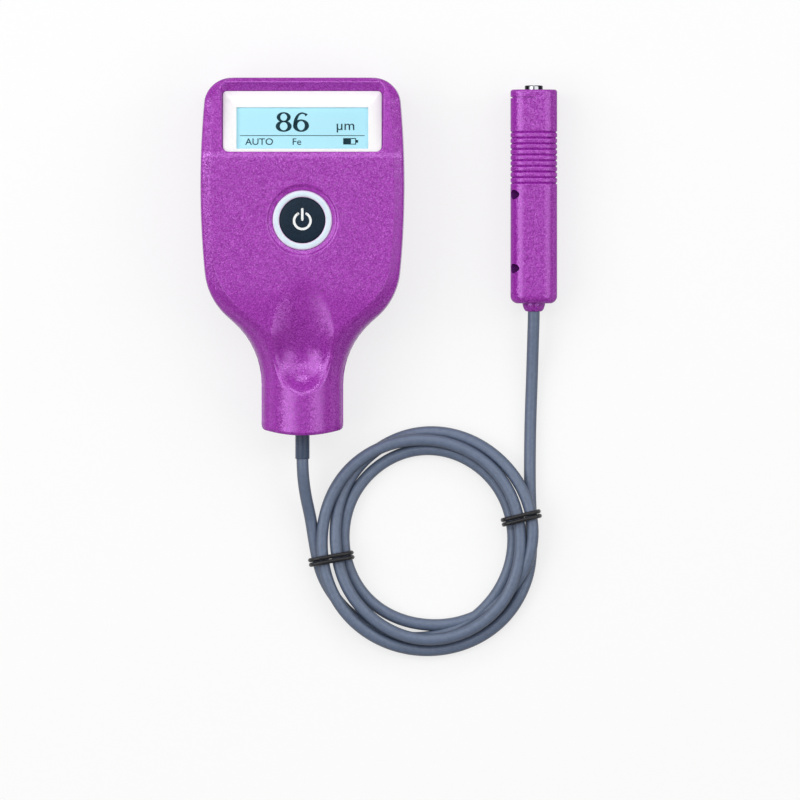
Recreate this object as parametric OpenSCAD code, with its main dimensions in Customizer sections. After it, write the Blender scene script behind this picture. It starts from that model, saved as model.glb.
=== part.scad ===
// Handheld coating thickness gauge with a separate probe on a coiled lead.
// It lies on its back: +Z is up out of the button face, +Y runs towards the display end.
// The origin is on the flat back face, half way along the gauge body.

/* [Housing] */
// Overall length of the gauge body
body_l = 110; // [106:1:126]
// Width of the head at its widest
head_w = 63; // [60:0.5:72]
// Thickness of the body at the button face
body_t = 28; // [27.5:0.5:34]
// Diameter of the round neck
neck_d = 25.2; // [24.6:0.2:27]
// Length of the head above the shoulders
head_l = 60; // [56:0.5:62]
// Distance from the top end to the widest place of the head
widest_drop = 33; // [26:1:40]
// Radius of the slight outward bow of the sides
side_bow_r = 280; // [240:10:800]
// Radius of the round shoulders
shoulder_r = 21; // [16:0.5:24]
// Radius of the hollow waist between shoulder and neck
waist_r = 25.5; // [18:0.5:28]
// Steepest angle of the flank between shoulder and waist
flank_a = 48.5; // [38:0.5:52]
// Corner radius of the top end, seen from the front
corner_r = 7.5; // [5:0.5:8]
// Rounding along the front and back edges of the head
edge_r = 3.5; // [3:0.25:4.5]
// Rounding over the top end's front and back edges
top_edge_r = 1.5; // [1:0.25:2.5]
// How far the neck's end bows out, seen from the front
neck_bow = 2; // [1:0.25:3]
// Rounding over the neck end's front and back edges
neck_edge_r = 1.5; // [0.5:0.25:2.5]
// Wall thickness of both shells
wall = 2; // [1.6:0.1:2.4]
// Thickness of the neck's end wall behind that bow
neck_end_t = 3; // [2:0.5:5]
// Taper of the side walls from the parting line
draft = 0.25; // [0.1:0.05:0.5]

/* [Thumb scoop] */
// Radius of the scoop
scoop_r = 11.5; // [9:0.5:13]
// Depth of the scoop below the top of the neck
scoop_depth = 5; // [3:0.25:6]
// Angle at which the scoop rises towards the button
scoop_tilt = 25; // [18:1:35]
// Distance from the end of the waist to the scoop's lower rim
scoop_below_waist = 2.2; // [1.6:0.2:5]

/* [Display] */
// Distance from the top end to the bend under the display
bend_drop = 23.8; // [22:0.2:28]
// Radius of that bend
bend_r = 8; // [4:0.5:14]
// Backward tilt of the frame round the display
frame_tilt = 16; // [12:0.5:18]
// Backward tilt of the window in its frame
window_tilt = 21; // [18:0.5:22]
// Width of the window
window_w = 49; // [46:0.5:52]
// Length of the window along its own slope
window_l = 20.2; // [18:0.2:21]
// Thickness of the window
window_t = 1.5; // [1:0.1:2]
// Corner radius of the window
window_r = 2; // [1:0.25:4]
// Distance from the bend to the window's lower edge
window_gap = 0.85; // [0.6:0.05:2]
// Depth of the window's recess at its lower edge
recess_low = 0.8; // [0.5:0.05:1.2]
// Slope of the recess's side walls
recess_side_a = 18; // [5:1:25]
// Slope of the recess's upper wall
recess_top_a = 32; // [15:1:38]
// Width of the ledge that carries the window
ledge_w = 1.5; // [1:0.1:2]
// Thickness of that ledge
ledge_t = 1.2; // [0.8:0.1:1.6]
// Width of the display glass
lcd_w = 44; // [42:0.5:44]
// Length of the display glass
lcd_l = 19; // [18:0.2:19.4]
// Thickness of the display glass
lcd_t = 1.8; // [1.2:0.1:2]
// Thickness of the backlight
backlight_t = 2.2; // [1.6:0.1:2.4]

/* [Power button] */
// Distance from the top end to the button's axis
button_drop = 44; // [42:0.5:48]
// Radius of the pale ring round the button
ring_r = 9.2; // [8.4:0.1:10]
// Radius of the button
button_r = 6.95; // [6:0.05:7.4]
// Width of the countersink round the ring
sink_w = 2; // [0.8:0.1:2.4]
// Depth of that countersink
sink_depth = 0.8; // [0.4:0.1:1.2]
// Depth of the ring's face below the housing's face
ring_sink = 0.5; // [0.2:0.1:1]
// Travel of the button
button_travel = 0.5; // [0.3:0.05:0.8]

/* [Battery bay] */
// Diameter of a cell
cell_d = 10.5; // [10.1:0.1:10.5]
// Length of a cell with its nub
cell_l = 44.5; // [43:0.1:44.6]
// Room for the contacts at each end of the cells
contact_room = 2; // [1.6:0.1:2]
// Thickness of the contact strip
contact_t = 0.4; // [0.3:0.05:0.5]
// Half-width of the battery door's plate
door_hw = 13; // [12:0.25:14]
// Thickness of the door's outer plate
door_plate_t = 1.2; // [1:0.1:1.4]
// Thickness of the door's side tongues
tongue_t = 1; // [0.8:0.1:1.2]
// Width of each side tongue
tongue_w = 1.5; // [1:0.1:2]
// Clearance round the door in its channel
door_gap = 0.15; // [0.1:0.05:0.2]

/* [Circuit board] */
// Half-width of the board
board_hw = 19; // [17:0.5:19.5]
// Length of the board
board_l = 46; // [40:0.5:46.5]
// Thickness of the board
board_t = 1.2; // [1:0.1:1.6]

/* [Screws] */
// Shaft radius of the housing screws
screw_r = 1.1; // [0.9:0.05:1.2]
// Head radius of the housing screws
screw_head_r = 2.1; // [1.9:0.05:2.3]
// Head height of the housing screws
screw_head_h = 1.6; // [1.2:0.1:1.8]

/* [Probe] */
// Width and height of the probe's square body
probe_w = 14.4; // [13.8:0.1:15]
// Length of the probe's body
probe_l = 66; // [64:0.5:74]
// Corner radius of its section
probe_corner_r = 4.6; // [4:0.1:5.4]
// Distance from the gauge's middle line to the probe's axis
probe_x = 71.4; // [70:0.1:80]
// Place of the probe's measuring end along the gauge
probe_top_y = 51.4; // [50:0.1:60]
// Number of grip grooves
groove_n = 10; // [6:1:11]
// Spacing of the grip grooves
groove_pitch = 1.74; // [1.5:0.02:1.8]
// Depth of a grip groove
groove_depth = 0.8; // [0.4:0.05:1]
// Flat land between two grooves
groove_land = 0.35; // [0.2:0.05:0.5]
// Distance from the measuring end to the first groove
groove_drop = 13; // [12:0.25:16]
// Distance from the measuring end to the upper screw
probe_screw_drop = 32.4; // [31.5:0.1:34]
// Distance between the two screws
probe_screw_gap = 22.8; // [20:0.1:23.5]
// Height of the screws above the probe's axis
probe_screw_up = 5.3; // [4.6:0.1:5.4]
// Radius of the screw pockets
screw_pocket_r = 1.5; // [1.4:0.05:1.6]
// Length of the nub that the lead leaves by
nub_l = 2.5; // [2:0.1:4]
// Radius of that nub at its root
nub_r = 3.5; // [3:0.1:4]

/* [Measuring tip] */
// Radius of the polished tip
tip_r = 2.8; // [2.4:0.05:3]
// Reach of the tip past the probe's body
tip_reach = 1.3; // [1.2:0.1:3]
// Travel of the tip into the body
tip_travel = 1.2; // [0.8:0.1:1.6]
// Radius of the chamber that the tip's spring works in
chamber_r = 4.6; // [4.4:0.1:4.8]
// Length of the guide bush
bush_l = 8; // [6:0.5:10]
// Length of the spring at rest
spring_l = 15; // [12:0.5:16]
// Wire diameter of the spring
spring_wire = 0.7; // [0.5:0.05:0.8]
// Turns of the spring
spring_turns = 7; // [5:1:9]

/* [Lead] */
// Diameter of the lead
cord_d = 3.7; // [3.4:0.1:4]
// Diameter of the sleeve at the neck
sleeve_d = 4.4; // [4.2:0.1:5]
// Length of the sleeve outside the neck
sleeve_l = 7.6; // [4:0.2:9]
// Inner radius of the coil
coil_in_r = 23.4; // [20:0.2:24]
// Outer radius of the coil
coil_out_r = 36; // [34:0.2:38]
// Height of the coil
coil_h = 7.4; // [7:0.2:9]
// Thickness of a tie's strand
tie_t = 1.2; // [1:0.1:1.2]
// Width of a tie's two strands
tie_w = 2.8; // [2:0.1:4]

/* [Hidden] */
$fn = 64;

purple = "mediumorchid";
slate = "slategray";

// Overlap that lets one cut run through another
eps = 1;
// Play between pieces that are fitted by hand
play = 0.1;

// Plan outline of the gauge body
top_y = body_l / 2;
end_y = -body_l / 2;
head_hw = head_w / 2;
neck_r = neck_d / 2;
part_z = neck_r;
widest_y = top_y - widest_drop;
shoulder_y = top_y - head_l;
bow_a = asin((widest_y - shoulder_y) / side_bow_r);
shoulder_hw = head_hw - side_bow_r * (1 - cos(bow_a));
shoulder_cx = shoulder_hw - shoulder_r * cos(bow_a);
shoulder_cy = shoulder_y + shoulder_r * sin(bow_a);
waist_cx = neck_r + waist_r;
flank = min(flank_a, acos((waist_cx - shoulder_cx) / (shoulder_r + waist_r)));
flank_top = [shoulder_cx + shoulder_r * cos(flank), shoulder_cy - shoulder_r * sin(flank)];
flank_low_x = waist_cx - waist_r * cos(flank);
flank_low_y = flank_top[1] - (flank_top[0] - flank_low_x) / tan(flank);
waist_y = flank_low_y - waist_r * sin(flank);
corner_y = top_y - corner_r;
neck_bow_r = (neck_r * neck_r + neck_bow * neck_bow) / (2 * neck_bow);

// Side profile of the button face
bend_y = top_y - bend_drop;
bend_low_y = bend_y - bend_r * tan(frame_tilt / 2);
bend_high_y = bend_low_y + bend_r * sin(frame_tilt);
flat_l = 40;
fall_y = bend_low_y - flat_l;
edge_blend_y = shoulder_y + 4;

function smooth(t) = let (c = min(1, max(0, t))) c * c * (3 - 2 * c);
function mix(a, b, t) = a + (b - a) * t;

// Half-width of the plan outline at y
function side_hw(y) = head_hw - side_bow_r * (1 - cos(asin((y - widest_y) / side_bow_r)));
function corner_cut(y) = y <= corner_y ? 0 :
    corner_r - sqrt(max(0, corner_r * corner_r - pow(y - corner_y, 2)));
function half_w(y) =
    y >= shoulder_y ? side_hw(y) - corner_cut(y) :
    y >= flank_top[1] ? shoulder_cx + sqrt(pow(shoulder_r, 2) - pow(shoulder_cy - y, 2)) :
    y >= flank_low_y ? flank_top[0] - (flank_top[1] - y) * tan(flank) :
    y >= waist_y ? waist_cx - sqrt(pow(waist_r, 2) - pow(y - waist_y, 2)) : neck_r;

// Height of the button face at y, and of the rounding over the top end
function face_z(y) =
    y >= bend_high_y ? body_t - (y - bend_y) * tan(frame_tilt) :
    y >= bend_low_y ? body_t - bend_r + sqrt(bend_r * bend_r - pow(y - bend_low_y, 2)) :
    y >= fall_y ? body_t : mix(neck_d, body_t, smooth((y - waist_y) / (fall_y - waist_y)));
function top_cut(y) =
    let (s = min(y, top_y) - (top_y - top_edge_r))
    s <= 0 ? 0 : top_edge_r - sqrt(max(0, top_edge_r * top_edge_r - s * s));

// Corner radius of the cross-section: small in the head, the full round at the neck
function section_r(y) =
    mix(edge_r, neck_r, smooth((edge_blend_y - y) / (edge_blend_y - waist_y)));

// One cross-section from its left foot to its right foot: half-width w, height h, corner radius r.
// The foot lies at height low.
arc_n = 8;
function section(y, w, h, r, low) =
    let (wt = w - draft, rx = min(r, 0.97 * wt), rz = max(0, min(r, 0.98 * h)))
    concat(
        [[-w, y, low]],
        [for (i = [0:arc_n]) let (a = 90 * i / arc_n)
            [-wt + rx * (1 - cos(a)), y, max(low, h - rz * (1 - sin(a)))]],
        [for (i = [arc_n:-1:0]) let (a = 90 * i / arc_n)
            [wt - rx * (1 - cos(a)), y, max(low, h - rz * (1 - sin(a)))]],
        [[w, y, low]]
    );

// Closed skin over rows of points whose feet all stand on one flat base
module loft(rows) {
    m = len(rows) - 1;
    n = len(rows[0]) - 1;
    k = n + 1;
    polyhedron(
        points = [for (row = rows) each row],
        faces = concat(
            [for (i = [0:m - 1], j = [0:n - 1]) [i * k + j, (i + 1) * k + j, (i + 1) * k + j + 1]],
            [for (i = [0:m - 1], j = [0:n - 1]) [i * k + j, (i + 1) * k + j + 1, i * k + j + 1]],
            [[for (j = [0:n]) j]],
            [[for (j = [n:-1:0]) m * k + j]],
            [for (i = [0:m - 1]) [i * k, i * k + n, (i + 1) * k + n]],
            [for (i = [0:m - 1]) [i * k, (i + 1) * k + n, (i + 1) * k]]
        ),
        convexity = 6
    );
}

// Stations along the body, from the waist to the top end
arc_steps = 8;
waist_ys = [for (i = [0:arc_steps]) waist_y + waist_r * sin(flank * i / arc_steps)];
shoulder_ys = [for (i = [0:arc_steps])
    shoulder_cy - shoulder_r * sin(mix(flank, bow_a, i / arc_steps))];
side_ys = [for (i = [1:2]) mix(shoulder_y, bend_low_y, i / 3)];
bend_ys = [for (i = [0:3]) bend_low_y + bend_r * sin(frame_tilt * i / 3)];
corner_ys = [for (a = [0, 20, 40, 55, 70, 82, 90]) corner_y + corner_r * sin(a)];
frame_mid_y = (bend_high_y + corner_y) / 2;
all_ys = concat(waist_ys, shoulder_ys, side_ys, bend_ys, [frame_mid_y], corner_ys);
body_ys = [for (i = [0:len(all_ys) - 1]) if (i == 0 || all_ys[i] - all_ys[max(0, i - 1)] > 0.01) all_ys[i]];

// Rows over the bowed end of the neck, from a flat where the lead leaves, then over the whole body
end_flat = 0.3;
function bow_depth(f) = sqrt(pow(neck_bow_r, 2) - pow(f * neck_r, 2));
function bow_rise(f) = bow_depth(end_flat) - bow_depth(f);
neck_rows = concat(
    [for (f = [end_flat, 0.6, 0.8, 0.93])
        section(end_y + bow_rise(f), f * neck_r, neck_r - neck_edge_r * pow(1 - f, 2), neck_r, 0)],
    [section(end_y + neck_bow + 0.25, neck_r - 0.25, neck_r, neck_r, 0),
     section(end_y + neck_bow + 0.9, neck_r, neck_r, neck_r, 0)]
);
function front_h(y) = face_z(y) - part_z - top_cut(y);
function rear_h(y) = part_z - top_cut(y);
front_rows = concat(
    neck_rows,
    [for (y = body_ys) section(y, half_w(y), front_h(y), section_r(y), 0)]
);
rear_rows = concat(
    neck_rows,
    [for (y = body_ys) section(y, half_w(y), rear_h(y), section_r(y), 0)]
);

module front_form() {
    translate([0, 0, part_z]) loft(front_rows);
}
module rear_form() {
    translate([0, 0, part_z]) mirror([0, 0, 1]) loft(rear_rows);
}

// The hollow inside each shell, one wall thickness in from the skin
hollow_low_y = end_y + neck_bow + neck_end_t;
hollow_top_y = top_y - wall;
hollow_ys = concat(
    [hollow_low_y, waist_y],
    [for (i = [2, 5, 8]) waist_ys[i]],
    [for (i = [0, 3, 6]) shoulder_ys[i]],
    [bend_low_y, bend_high_y, corner_y, (corner_y + hollow_top_y) / 2, hollow_top_y]
);
function hollow_rows(front) = [for (y = hollow_ys)
    section(y, half_w(y) - wall, (front ? face_z(y) - part_z : part_z) - wall, section_r(y) - wall, -eps)];
module front_hollow() {
    translate([0, 0, part_z]) loft(hollow_rows(true));
}
module rear_hollow() {
    translate([0, 0, part_z]) mirror([0, 0, 1]) loft(hollow_rows(false));
}

// Thumb scoop: a round-ended gouge that rises towards the button
scoop_floor_z = neck_d - scoop_depth;
scoop_z = scoop_floor_z + scoop_r;
scoop_y = waist_y - scoop_below_waist + sqrt(scoop_r * scoop_r - pow(scoop_r - scoop_depth, 2));
module thumb_scoop(grow) {
    translate([0, scoop_y, scoop_z])
        rotate([scoop_tilt - 90, 0, 0]) {
            cylinder(r = scoop_r + grow, h = body_l);
            sphere(r = scoop_r + grow);
        }
}

// Window and what lies behind it, in a frame with +Y up the slope and +Z out of the glass
window_y = bend_y + window_gap;
window_z = body_t - window_gap * tan(frame_tilt) - recess_low;
module at_window() {
    translate([0, window_y, window_z]) rotate([-window_tilt, 0, 0]) children();
}
module round_plate(w, l, r) {
    translate([-w / 2 + r, 0]) square([w - 2 * r, l]);
    translate([-w / 2, r]) square([w, l - 2 * r]);
    for (x = [-1, 1], y = [r, l - r]) translate([x * (w / 2 - r), y]) circle(r);
}

// Recess above the window: the upper wall leans back most, and its corners are cut off
recess_up = 6;
recess_corner = 2;
function recess_outline(w, y0, y1, z) = [
    [-w, y0, z], [w, y0, z], [w, y1 - recess_corner, z], [w - recess_corner, y1, z],
    [recess_corner - w, y1, z], [-w, y1 - recess_corner, z]
];
module window_recess() {
    w0 = window_w / 2 + play;
    w1 = w0 + recess_up * tan(recess_side_a);
    y0 = window_l + play;
    y1 = y0 + recess_up * tan(recess_top_a);
    at_window() polyhedron(
        points = concat(recess_outline(w0, -play, y0, 0), recess_outline(w1, -play, y1, recess_up)),
        faces = concat(
            [[0, 1, 2, 3, 4, 5], [11, 10, 9, 8, 7, 6]],
            [for (i = [0:5]) [i, i + 6, (i + 1) % 6 + 6, (i + 1) % 6]]
        )
    );
}
tub_w = 2.5;
module display_tub() {
    at_window()
        translate([-window_w / 2 - tub_w, -tub_w, -window_t - ledge_t])
        cube([window_w + 2 * tub_w, window_l + 2 * tub_w, recess_up + window_t + ledge_t]);
}

// Housing screws: two under the display's corners, two at the shoulders
boss_r = 2.6;
rear_boss_r = 3.2;
screw_seat_z = 3.5;
screw_l = 12;
boss_drop = 6;
boss_upper = [lcd_w / 2 + boss_r + 0.2, top_y - boss_drop];
boss_lower = [head_hw - 9, shoulder_y - 4];
boss_places = [boss_upper, [-boss_upper[0], boss_upper[1]], boss_lower, [-boss_lower[0], boss_lower[1]]];
module at_bosses() {
    for (p = boss_places) translate([p[0], p[1], 0]) children();
}

// Power button stack, from the face down to the board
button_y = top_y - button_drop;
ring_top_z = body_t - ring_sink;
ring_low_z = body_t - wall - 1.5;
ring_flange_w = 1.5;
ring_bore_r = button_r + play;
board_z = door_plate_t + tongue_t + 0.3 + cell_d + 1.2;
board_top_z = board_z + board_t;
switch_w = 6;
switch_h = 3.5;
plunger_r = 1.75;
plunger_up = 1.3;
switch_top_z = board_top_z + switch_h;
stem_z = switch_top_z + plunger_up;

module front_housing() {
    color(purple) difference() {
        front_form();
        difference() {
            front_hollow();
            display_tub();
            thumb_scoop(wall);
            at_bosses() cylinder(r = boss_r, h = body_t);
        }
        thumb_scoop(0);
        window_recess();
        at_window() translate([0, 0, -window_t])
            linear_extrude(window_t + play) translate([0, -play])
            round_plate(window_w + 2 * play, window_l + 2 * play, window_r);
        at_window() translate([0, ledge_w, -window_t - ledge_t - eps])
            linear_extrude(ledge_t + 2 * eps)
            round_plate(window_w - 2 * ledge_w, window_l - 2 * ledge_w, window_r);
        translate([0, button_y, body_t - wall - eps]) cylinder(r = ring_r + play, h = wall + 2 * eps);
        translate([0, button_y, body_t - sink_depth])
            cylinder(r1 = ring_r + play, r2 = ring_r + sink_w, h = sink_depth);
        translate([0, button_y, body_t - play]) cylinder(r = ring_r + sink_w, h = eps);
        at_bosses() translate([0, 0, part_z - eps])
            cylinder(r = screw_r, h = screw_seat_z + screw_l - part_z + 2 * eps);
        sleeve_bore();
    }
}

// Battery bay, the channel that its door slides in, and the door itself
door_t = door_plate_t + tongue_t;
cell_z = door_t + 0.3 + cell_d / 2;
cell_pitch = cell_d + 0.5;
bay_hw = cell_pitch / 2 + cell_d / 2 + 0.4;
bay_top_y = hollow_top_y - 0.3;
bay_l = cell_l + 2 * contact_room;
bay_low_y = bay_top_y - bay_l;
bay_wall = 1.2;
bay_wall_top_z = part_z - 0.2;
door_low_y = bay_low_y - bay_wall;
rail_hw = door_hw + tongue_w + 2;
rail_top_z = door_t + 1.4;
block_z = 1;
block_top_y = top_y - wall * 0.75;
module door_section(gap) {
    translate([-door_hw - gap, -eps]) square([2 * (door_hw + gap), eps + door_t + gap]);
    translate([-door_hw - tongue_w - gap, door_plate_t - gap])
        square([2 * (door_hw + tongue_w + gap), tongue_t + 2 * gap]);
}
module door_slide(gap) {
    translate([0, top_y + eps, 0]) rotate([90, 0, 0])
        linear_extrude(top_y + eps - door_low_y + gap) door_section(gap);
}
board_low_y = bend_low_y - board_l;
post_r = 2.2;
post_places = [for (x = [-1, 1], y = [board_low_y + 8, board_low_y + board_l - 5]) [x * (bay_hw + 4.2), y]];
board_screw_r = 0.9;
module at_posts() {
    for (p = post_places) translate([p[0], p[1], 0]) children();
}

module rear_housing() {
    color(purple) difference() {
        union() {
            difference() {
                rear_form();
                rear_hollow();
            }
            translate([-bay_hw - bay_wall, door_low_y, block_z])
                cube([2 * (bay_hw + bay_wall), block_top_y - door_low_y, bay_wall_top_z - block_z]);
            translate([-rail_hw, door_low_y - 2, block_z])
                cube([2 * rail_hw, block_top_y - door_low_y + 2, rail_top_z - block_z]);
            at_posts() translate([0, 0, block_z]) cylinder(r = post_r, h = board_z - block_z);
            at_bosses() translate([0, 0, block_z]) cylinder(r = rear_boss_r, h = part_z - block_z);
        }
        translate([-bay_hw, bay_low_y, -eps]) cube([2 * bay_hw, bay_l, part_z + 2 * eps]);
        door_slide(door_gap);
        at_bosses() {
            translate([0, 0, -eps]) cylinder(r = screw_head_r + 0.4, h = screw_seat_z + eps);
            cylinder(r = screw_r + 0.2, h = part_z + eps);
        }
        at_posts() translate([0, 0, rail_top_z + 2]) cylinder(r = board_screw_r, h = board_z);
        sleeve_bore();
    }
}

grip_n = 5;
grip_pitch = 2;
module battery_door() {
    color(purple) difference() {
        intersection() {
            rear_form();
            door_slide(0);
        }
        for (i = [0:grip_n - 1])
            translate([-door_hw * 0.6, top_y - 8 - i * grip_pitch, -eps]) cube([door_hw * 1.2, 1, eps + 0.5]);
    }
}

module display_window() {
    color("whitesmoke") at_window() translate([0, 0, -window_t])
        linear_extrude(window_t) round_plate(window_w, window_l, window_r);
}

// Display glass behind the ledge, with the backlight and the flex strip to the board
lcd_y = (window_l - lcd_l) / 2;
lcd_top = -window_t - ledge_t;
module display_glass() {
    color("paleturquoise") at_window() translate([-lcd_w / 2, lcd_y, lcd_top - lcd_t])
        cube([lcd_w, lcd_l, lcd_t]);
}
module backlight() {
    color("white") at_window() translate([-lcd_w / 2, lcd_y, lcd_top - lcd_t - backlight_t])
        cube([lcd_w, lcd_l, backlight_t]);
}
flex_w = 16;
flex_t = 0.3;
flex_tab = 3;
module display_flex() {
    back = lcd_top - lcd_t - backlight_t;
    ct = cos(window_tilt);
    st = sin(window_tilt);
    low = [window_y + lcd_y * ct + back * st, window_z - lcd_y * st + back * ct];
    high = low + flex_tab * [ct, -st];
    foot = board_low_y + board_l - 2;
    drop = [foot - flex_tab, board_top_z];
    color("darkgoldenrod") translate([-flex_w / 2, 0, 0]) rotate([90, 0, 90]) linear_extrude(flex_w) polygon([
        high, low, [foot, board_top_z + flex_t], drop + [0, flex_t], drop,
        [foot + flex_t, board_top_z], low + flex_t * [st, -ct] + flex_t * [ct, -st], high - flex_t * [st, ct]
    ]);
}

module button_ring() {
    color("aliceblue") translate([0, button_y, 0]) difference() {
        union() {
            translate([0, 0, ring_low_z]) cylinder(r = ring_r, h = ring_top_z - ring_low_z);
            translate([0, 0, ring_low_z])
                cylinder(r = ring_r + ring_flange_w, h = body_t - wall - ring_low_z);
        }
        translate([0, 0, ring_low_z - eps]) cylinder(r = ring_bore_r, h = body_t);
    }
}

// Black cap on a stem; its flange is caught under the ring
flange_gap = 0.15;
cap_flange_t = 0.8;
cap_dome = 0.35;
module power_button() {
    cap_low = ring_low_z - flange_gap;
    cap_top = body_t - 0.1;
    color("darkslategray") translate([0, button_y, 0]) rotate_extrude() polygon([
        [0, stem_z], [2, stem_z], [2, cap_low - cap_flange_t], [button_r + 0.9, cap_low - cap_flange_t],
        [button_r + 0.9, cap_low], [button_r, cap_low], [button_r, cap_top - cap_dome - 0.4],
        [button_r - 0.4, cap_top - cap_dome], [button_r * 0.6, cap_top - cap_dome * 0.3], [0, cap_top]
    ]);
}
module switch_plunger() {
    color("dimgray") translate([0, button_y, switch_top_z - button_travel - 0.3])
        cylinder(r = plunger_r, h = stem_z - switch_top_z + button_travel + 0.3);
}
module tact_switch() {
    color("black") translate([0, button_y, board_top_z]) difference() {
        translate([-switch_w / 2, -switch_w / 2, 0]) cube([switch_w, switch_w, switch_h]);
        translate([0, 0, switch_h - 2 * button_travel - 0.5])
            cylinder(r = plunger_r + 0.1, h = switch_h);
    }
}

module main_board() {
    color("seagreen") difference() {
        translate([-board_hw, board_low_y, board_z]) cube([2 * board_hw, board_l, board_t]);
        at_posts() translate([0, 0, board_z - eps]) cylinder(r = board_screw_r + 0.2, h = board_t + 2 * eps);
        for (p = [boss_lower, [-boss_lower[0], boss_lower[1]]])
            translate([p[0], p[1], board_z - eps]) cylinder(r = boss_r + 0.5, h = board_t + 2 * eps);
    }
}

// Chips and radio module, sized and placed by the board's own size
chip_w = 0.37 * board_hw;
chip_t = 0.85 * board_t;
module board_chips() {
    color("black") {
        translate([0.26 * board_hw, button_y + 0.13 * board_l, board_top_z]) cube([chip_w, chip_w, chip_t]);
        translate([0.26 * board_hw, button_y - 0.3 * board_l, board_top_z])
            cube([0.7 * chip_w, 0.85 * chip_w, 1.2 * chip_t]);
        translate([-0.47 * board_hw, button_y + 0.15 * board_l, board_top_z])
            cube([0.42 * chip_w, 0.7 * chip_w, chip_t]);
    }
}
radio_w = 0.52 * board_hw;
radio_l = 0.3 * board_l;
radio_t = 0.65 * board_t;
module radio_module() {
    color("silver") translate([-radio_w - 0.05 * board_hw, button_y - 0.48 * board_l, board_top_z]) {
        cube([radio_w, radio_l, radio_t]);
        translate([radio_t, radio_t, radio_t]) cube([radio_w - 2 * radio_t, 0.72 * radio_l, 2 * radio_t]);
    }
}

// Cells side by side, the left one with its nub towards the top end
nub_h = 1;
cell_nub_r = 1.9;
cell_low_y = bay_low_y + contact_room;
module cell() {
    rotate_extrude() polygon([
        [0, 0], [cell_d / 2 - 0.3, 0], [cell_d / 2, 0.3], [cell_d / 2, cell_l - nub_h - 0.3],
        [cell_d / 2 - 0.3, cell_l - nub_h], [cell_nub_r, cell_l - nub_h], [cell_nub_r, cell_l], [0, cell_l]
    ]);
}
module battery_left() {
    color("goldenrod") translate([-cell_pitch / 2, cell_low_y, cell_z]) rotate([-90, 0, 0]) cell();
}
module battery_right() {
    color("goldenrod") translate([cell_pitch / 2, cell_low_y + cell_l, cell_z]) rotate([90, 0, 0]) cell();
}

// Contact strips: a flat plate on the bay's wall, and a sprung leaf for each cell's flat end
strip_w = 8;
module strip_plate(x, y, w) {
    translate([x - w / 2, y, cell_z - strip_w / 2]) cube([w, contact_t, strip_w]);
}
module leaf(x, y, towards) {
    reach = contact_room;
    translate([x - strip_w / 4, y, cell_z]) rotate([90, 0, 90]) linear_extrude(strip_w / 2) polygon([
        [0, 3], [towards * contact_t, 3], [towards * reach, 0.6], [towards * reach, -0.6],
        [towards * (reach - contact_t), -0.6], [towards * (reach - contact_t), 0.4], [0, 2.4]
    ]);
}
module stud(x, y, towards) {
    translate([x, y, cell_z]) rotate([-90 * towards, 0, 0]) cylinder(r = 1.5, h = contact_room);
}
module contact_plus() {
    color("silver") {
        strip_plate(-cell_pitch / 2, bay_top_y - contact_t, strip_w);
        stud(-cell_pitch / 2, bay_top_y, -1);
    }
}
module contact_minus() {
    color("silver") {
        strip_plate(cell_pitch / 2, bay_top_y - contact_t, strip_w);
        leaf(cell_pitch / 2, bay_top_y, -1);
    }
}
module contact_bridge() {
    color("silver") {
        strip_plate(0, bay_low_y, cell_pitch + strip_w);
        leaf(-cell_pitch / 2, bay_low_y, 1);
        stud(cell_pitch / 2, bay_low_y, 1);
    }
}

// Cross-head screw that stands on its head, with its shaft up along +Z
module cross_screw(r, head_r, head_h, l) {
    difference() {
        union() {
            cylinder(r = r, h = l);
            translate([0, 0, -head_h]) cylinder(r = head_r, h = head_h);
        }
        for (a = [0, 90]) rotate(a)
            translate([-head_r * 0.6, -head_r * 0.14, -head_h - eps])
            cube([head_r * 1.2, head_r * 0.28, eps + head_h * 0.6]);
    }
}
module housing_screws() {
    color("silver") at_bosses() translate([0, 0, screw_seat_z])
        cross_screw(screw_r, screw_head_r, screw_head_h, screw_l);
}
board_screw_l = 6;
module board_screws() {
    color("silver") at_posts() translate([0, 0, board_top_z]) mirror([0, 0, 1])
        cross_screw(board_screw_r, 1.8, 1.2, board_screw_l + board_t);
}

// Lead's sleeve, caught by its collar behind the neck's end wall
collar_r = 4.5;
collar_t = 2.5;
cord_r = cord_d / 2;
module sleeve_bore() {
    translate([0, end_y - eps, part_z]) rotate([-90, 0, 0])
        cylinder(r = sleeve_d / 2, h = hollow_low_y - end_y + 2 * eps);
}
module cable_sleeve() {
    color("dimgray") translate([0, end_y - sleeve_l, part_z]) rotate([-90, 0, 0]) difference() {
        union() {
            cylinder(r = sleeve_d / 2, h = hollow_low_y - end_y + sleeve_l + collar_t);
            translate([0, 0, hollow_low_y - end_y + sleeve_l]) cylinder(r = collar_r, h = collar_t);
        }
        translate([0, 0, -eps]) cylinder(r = cord_r, h = body_l);
    }
}

// Probe: a rounded square bar, in a frame with its axis along +Y from the nub to the tip
probe_hw = probe_w / 2;
probe_low_y = probe_top_y - probe_l;
probe_end_r = 2.3;
module at_probe() {
    translate([probe_x, probe_low_y, probe_hw]) children();
}
probe_arc_n = 4;
function probe_ring(y, cut) =
    let (a = probe_hw - cut, r = max(0.5, probe_corner_r - cut))
    [for (q = [0:3], i = [0:probe_arc_n]) let (t = 90 * q + 90 * i / probe_arc_n, s = 90 * q + 45)
        [(a - r) * sign(cos(s)) + r * cos(t), y, (a - r) * sign(sin(s)) + r * sin(t)]];
first_groove = probe_l - groove_drop;
groove_stations = [for (g = [groove_n - 1:-1:0]) let (y = first_groove - (g + 1) * groove_pitch) each
    [[y + groove_land, 0], [y + groove_pitch * 0.45, groove_depth], [y + groove_pitch * 0.7, groove_depth],
     [y + groove_pitch, 0]]];
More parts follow.
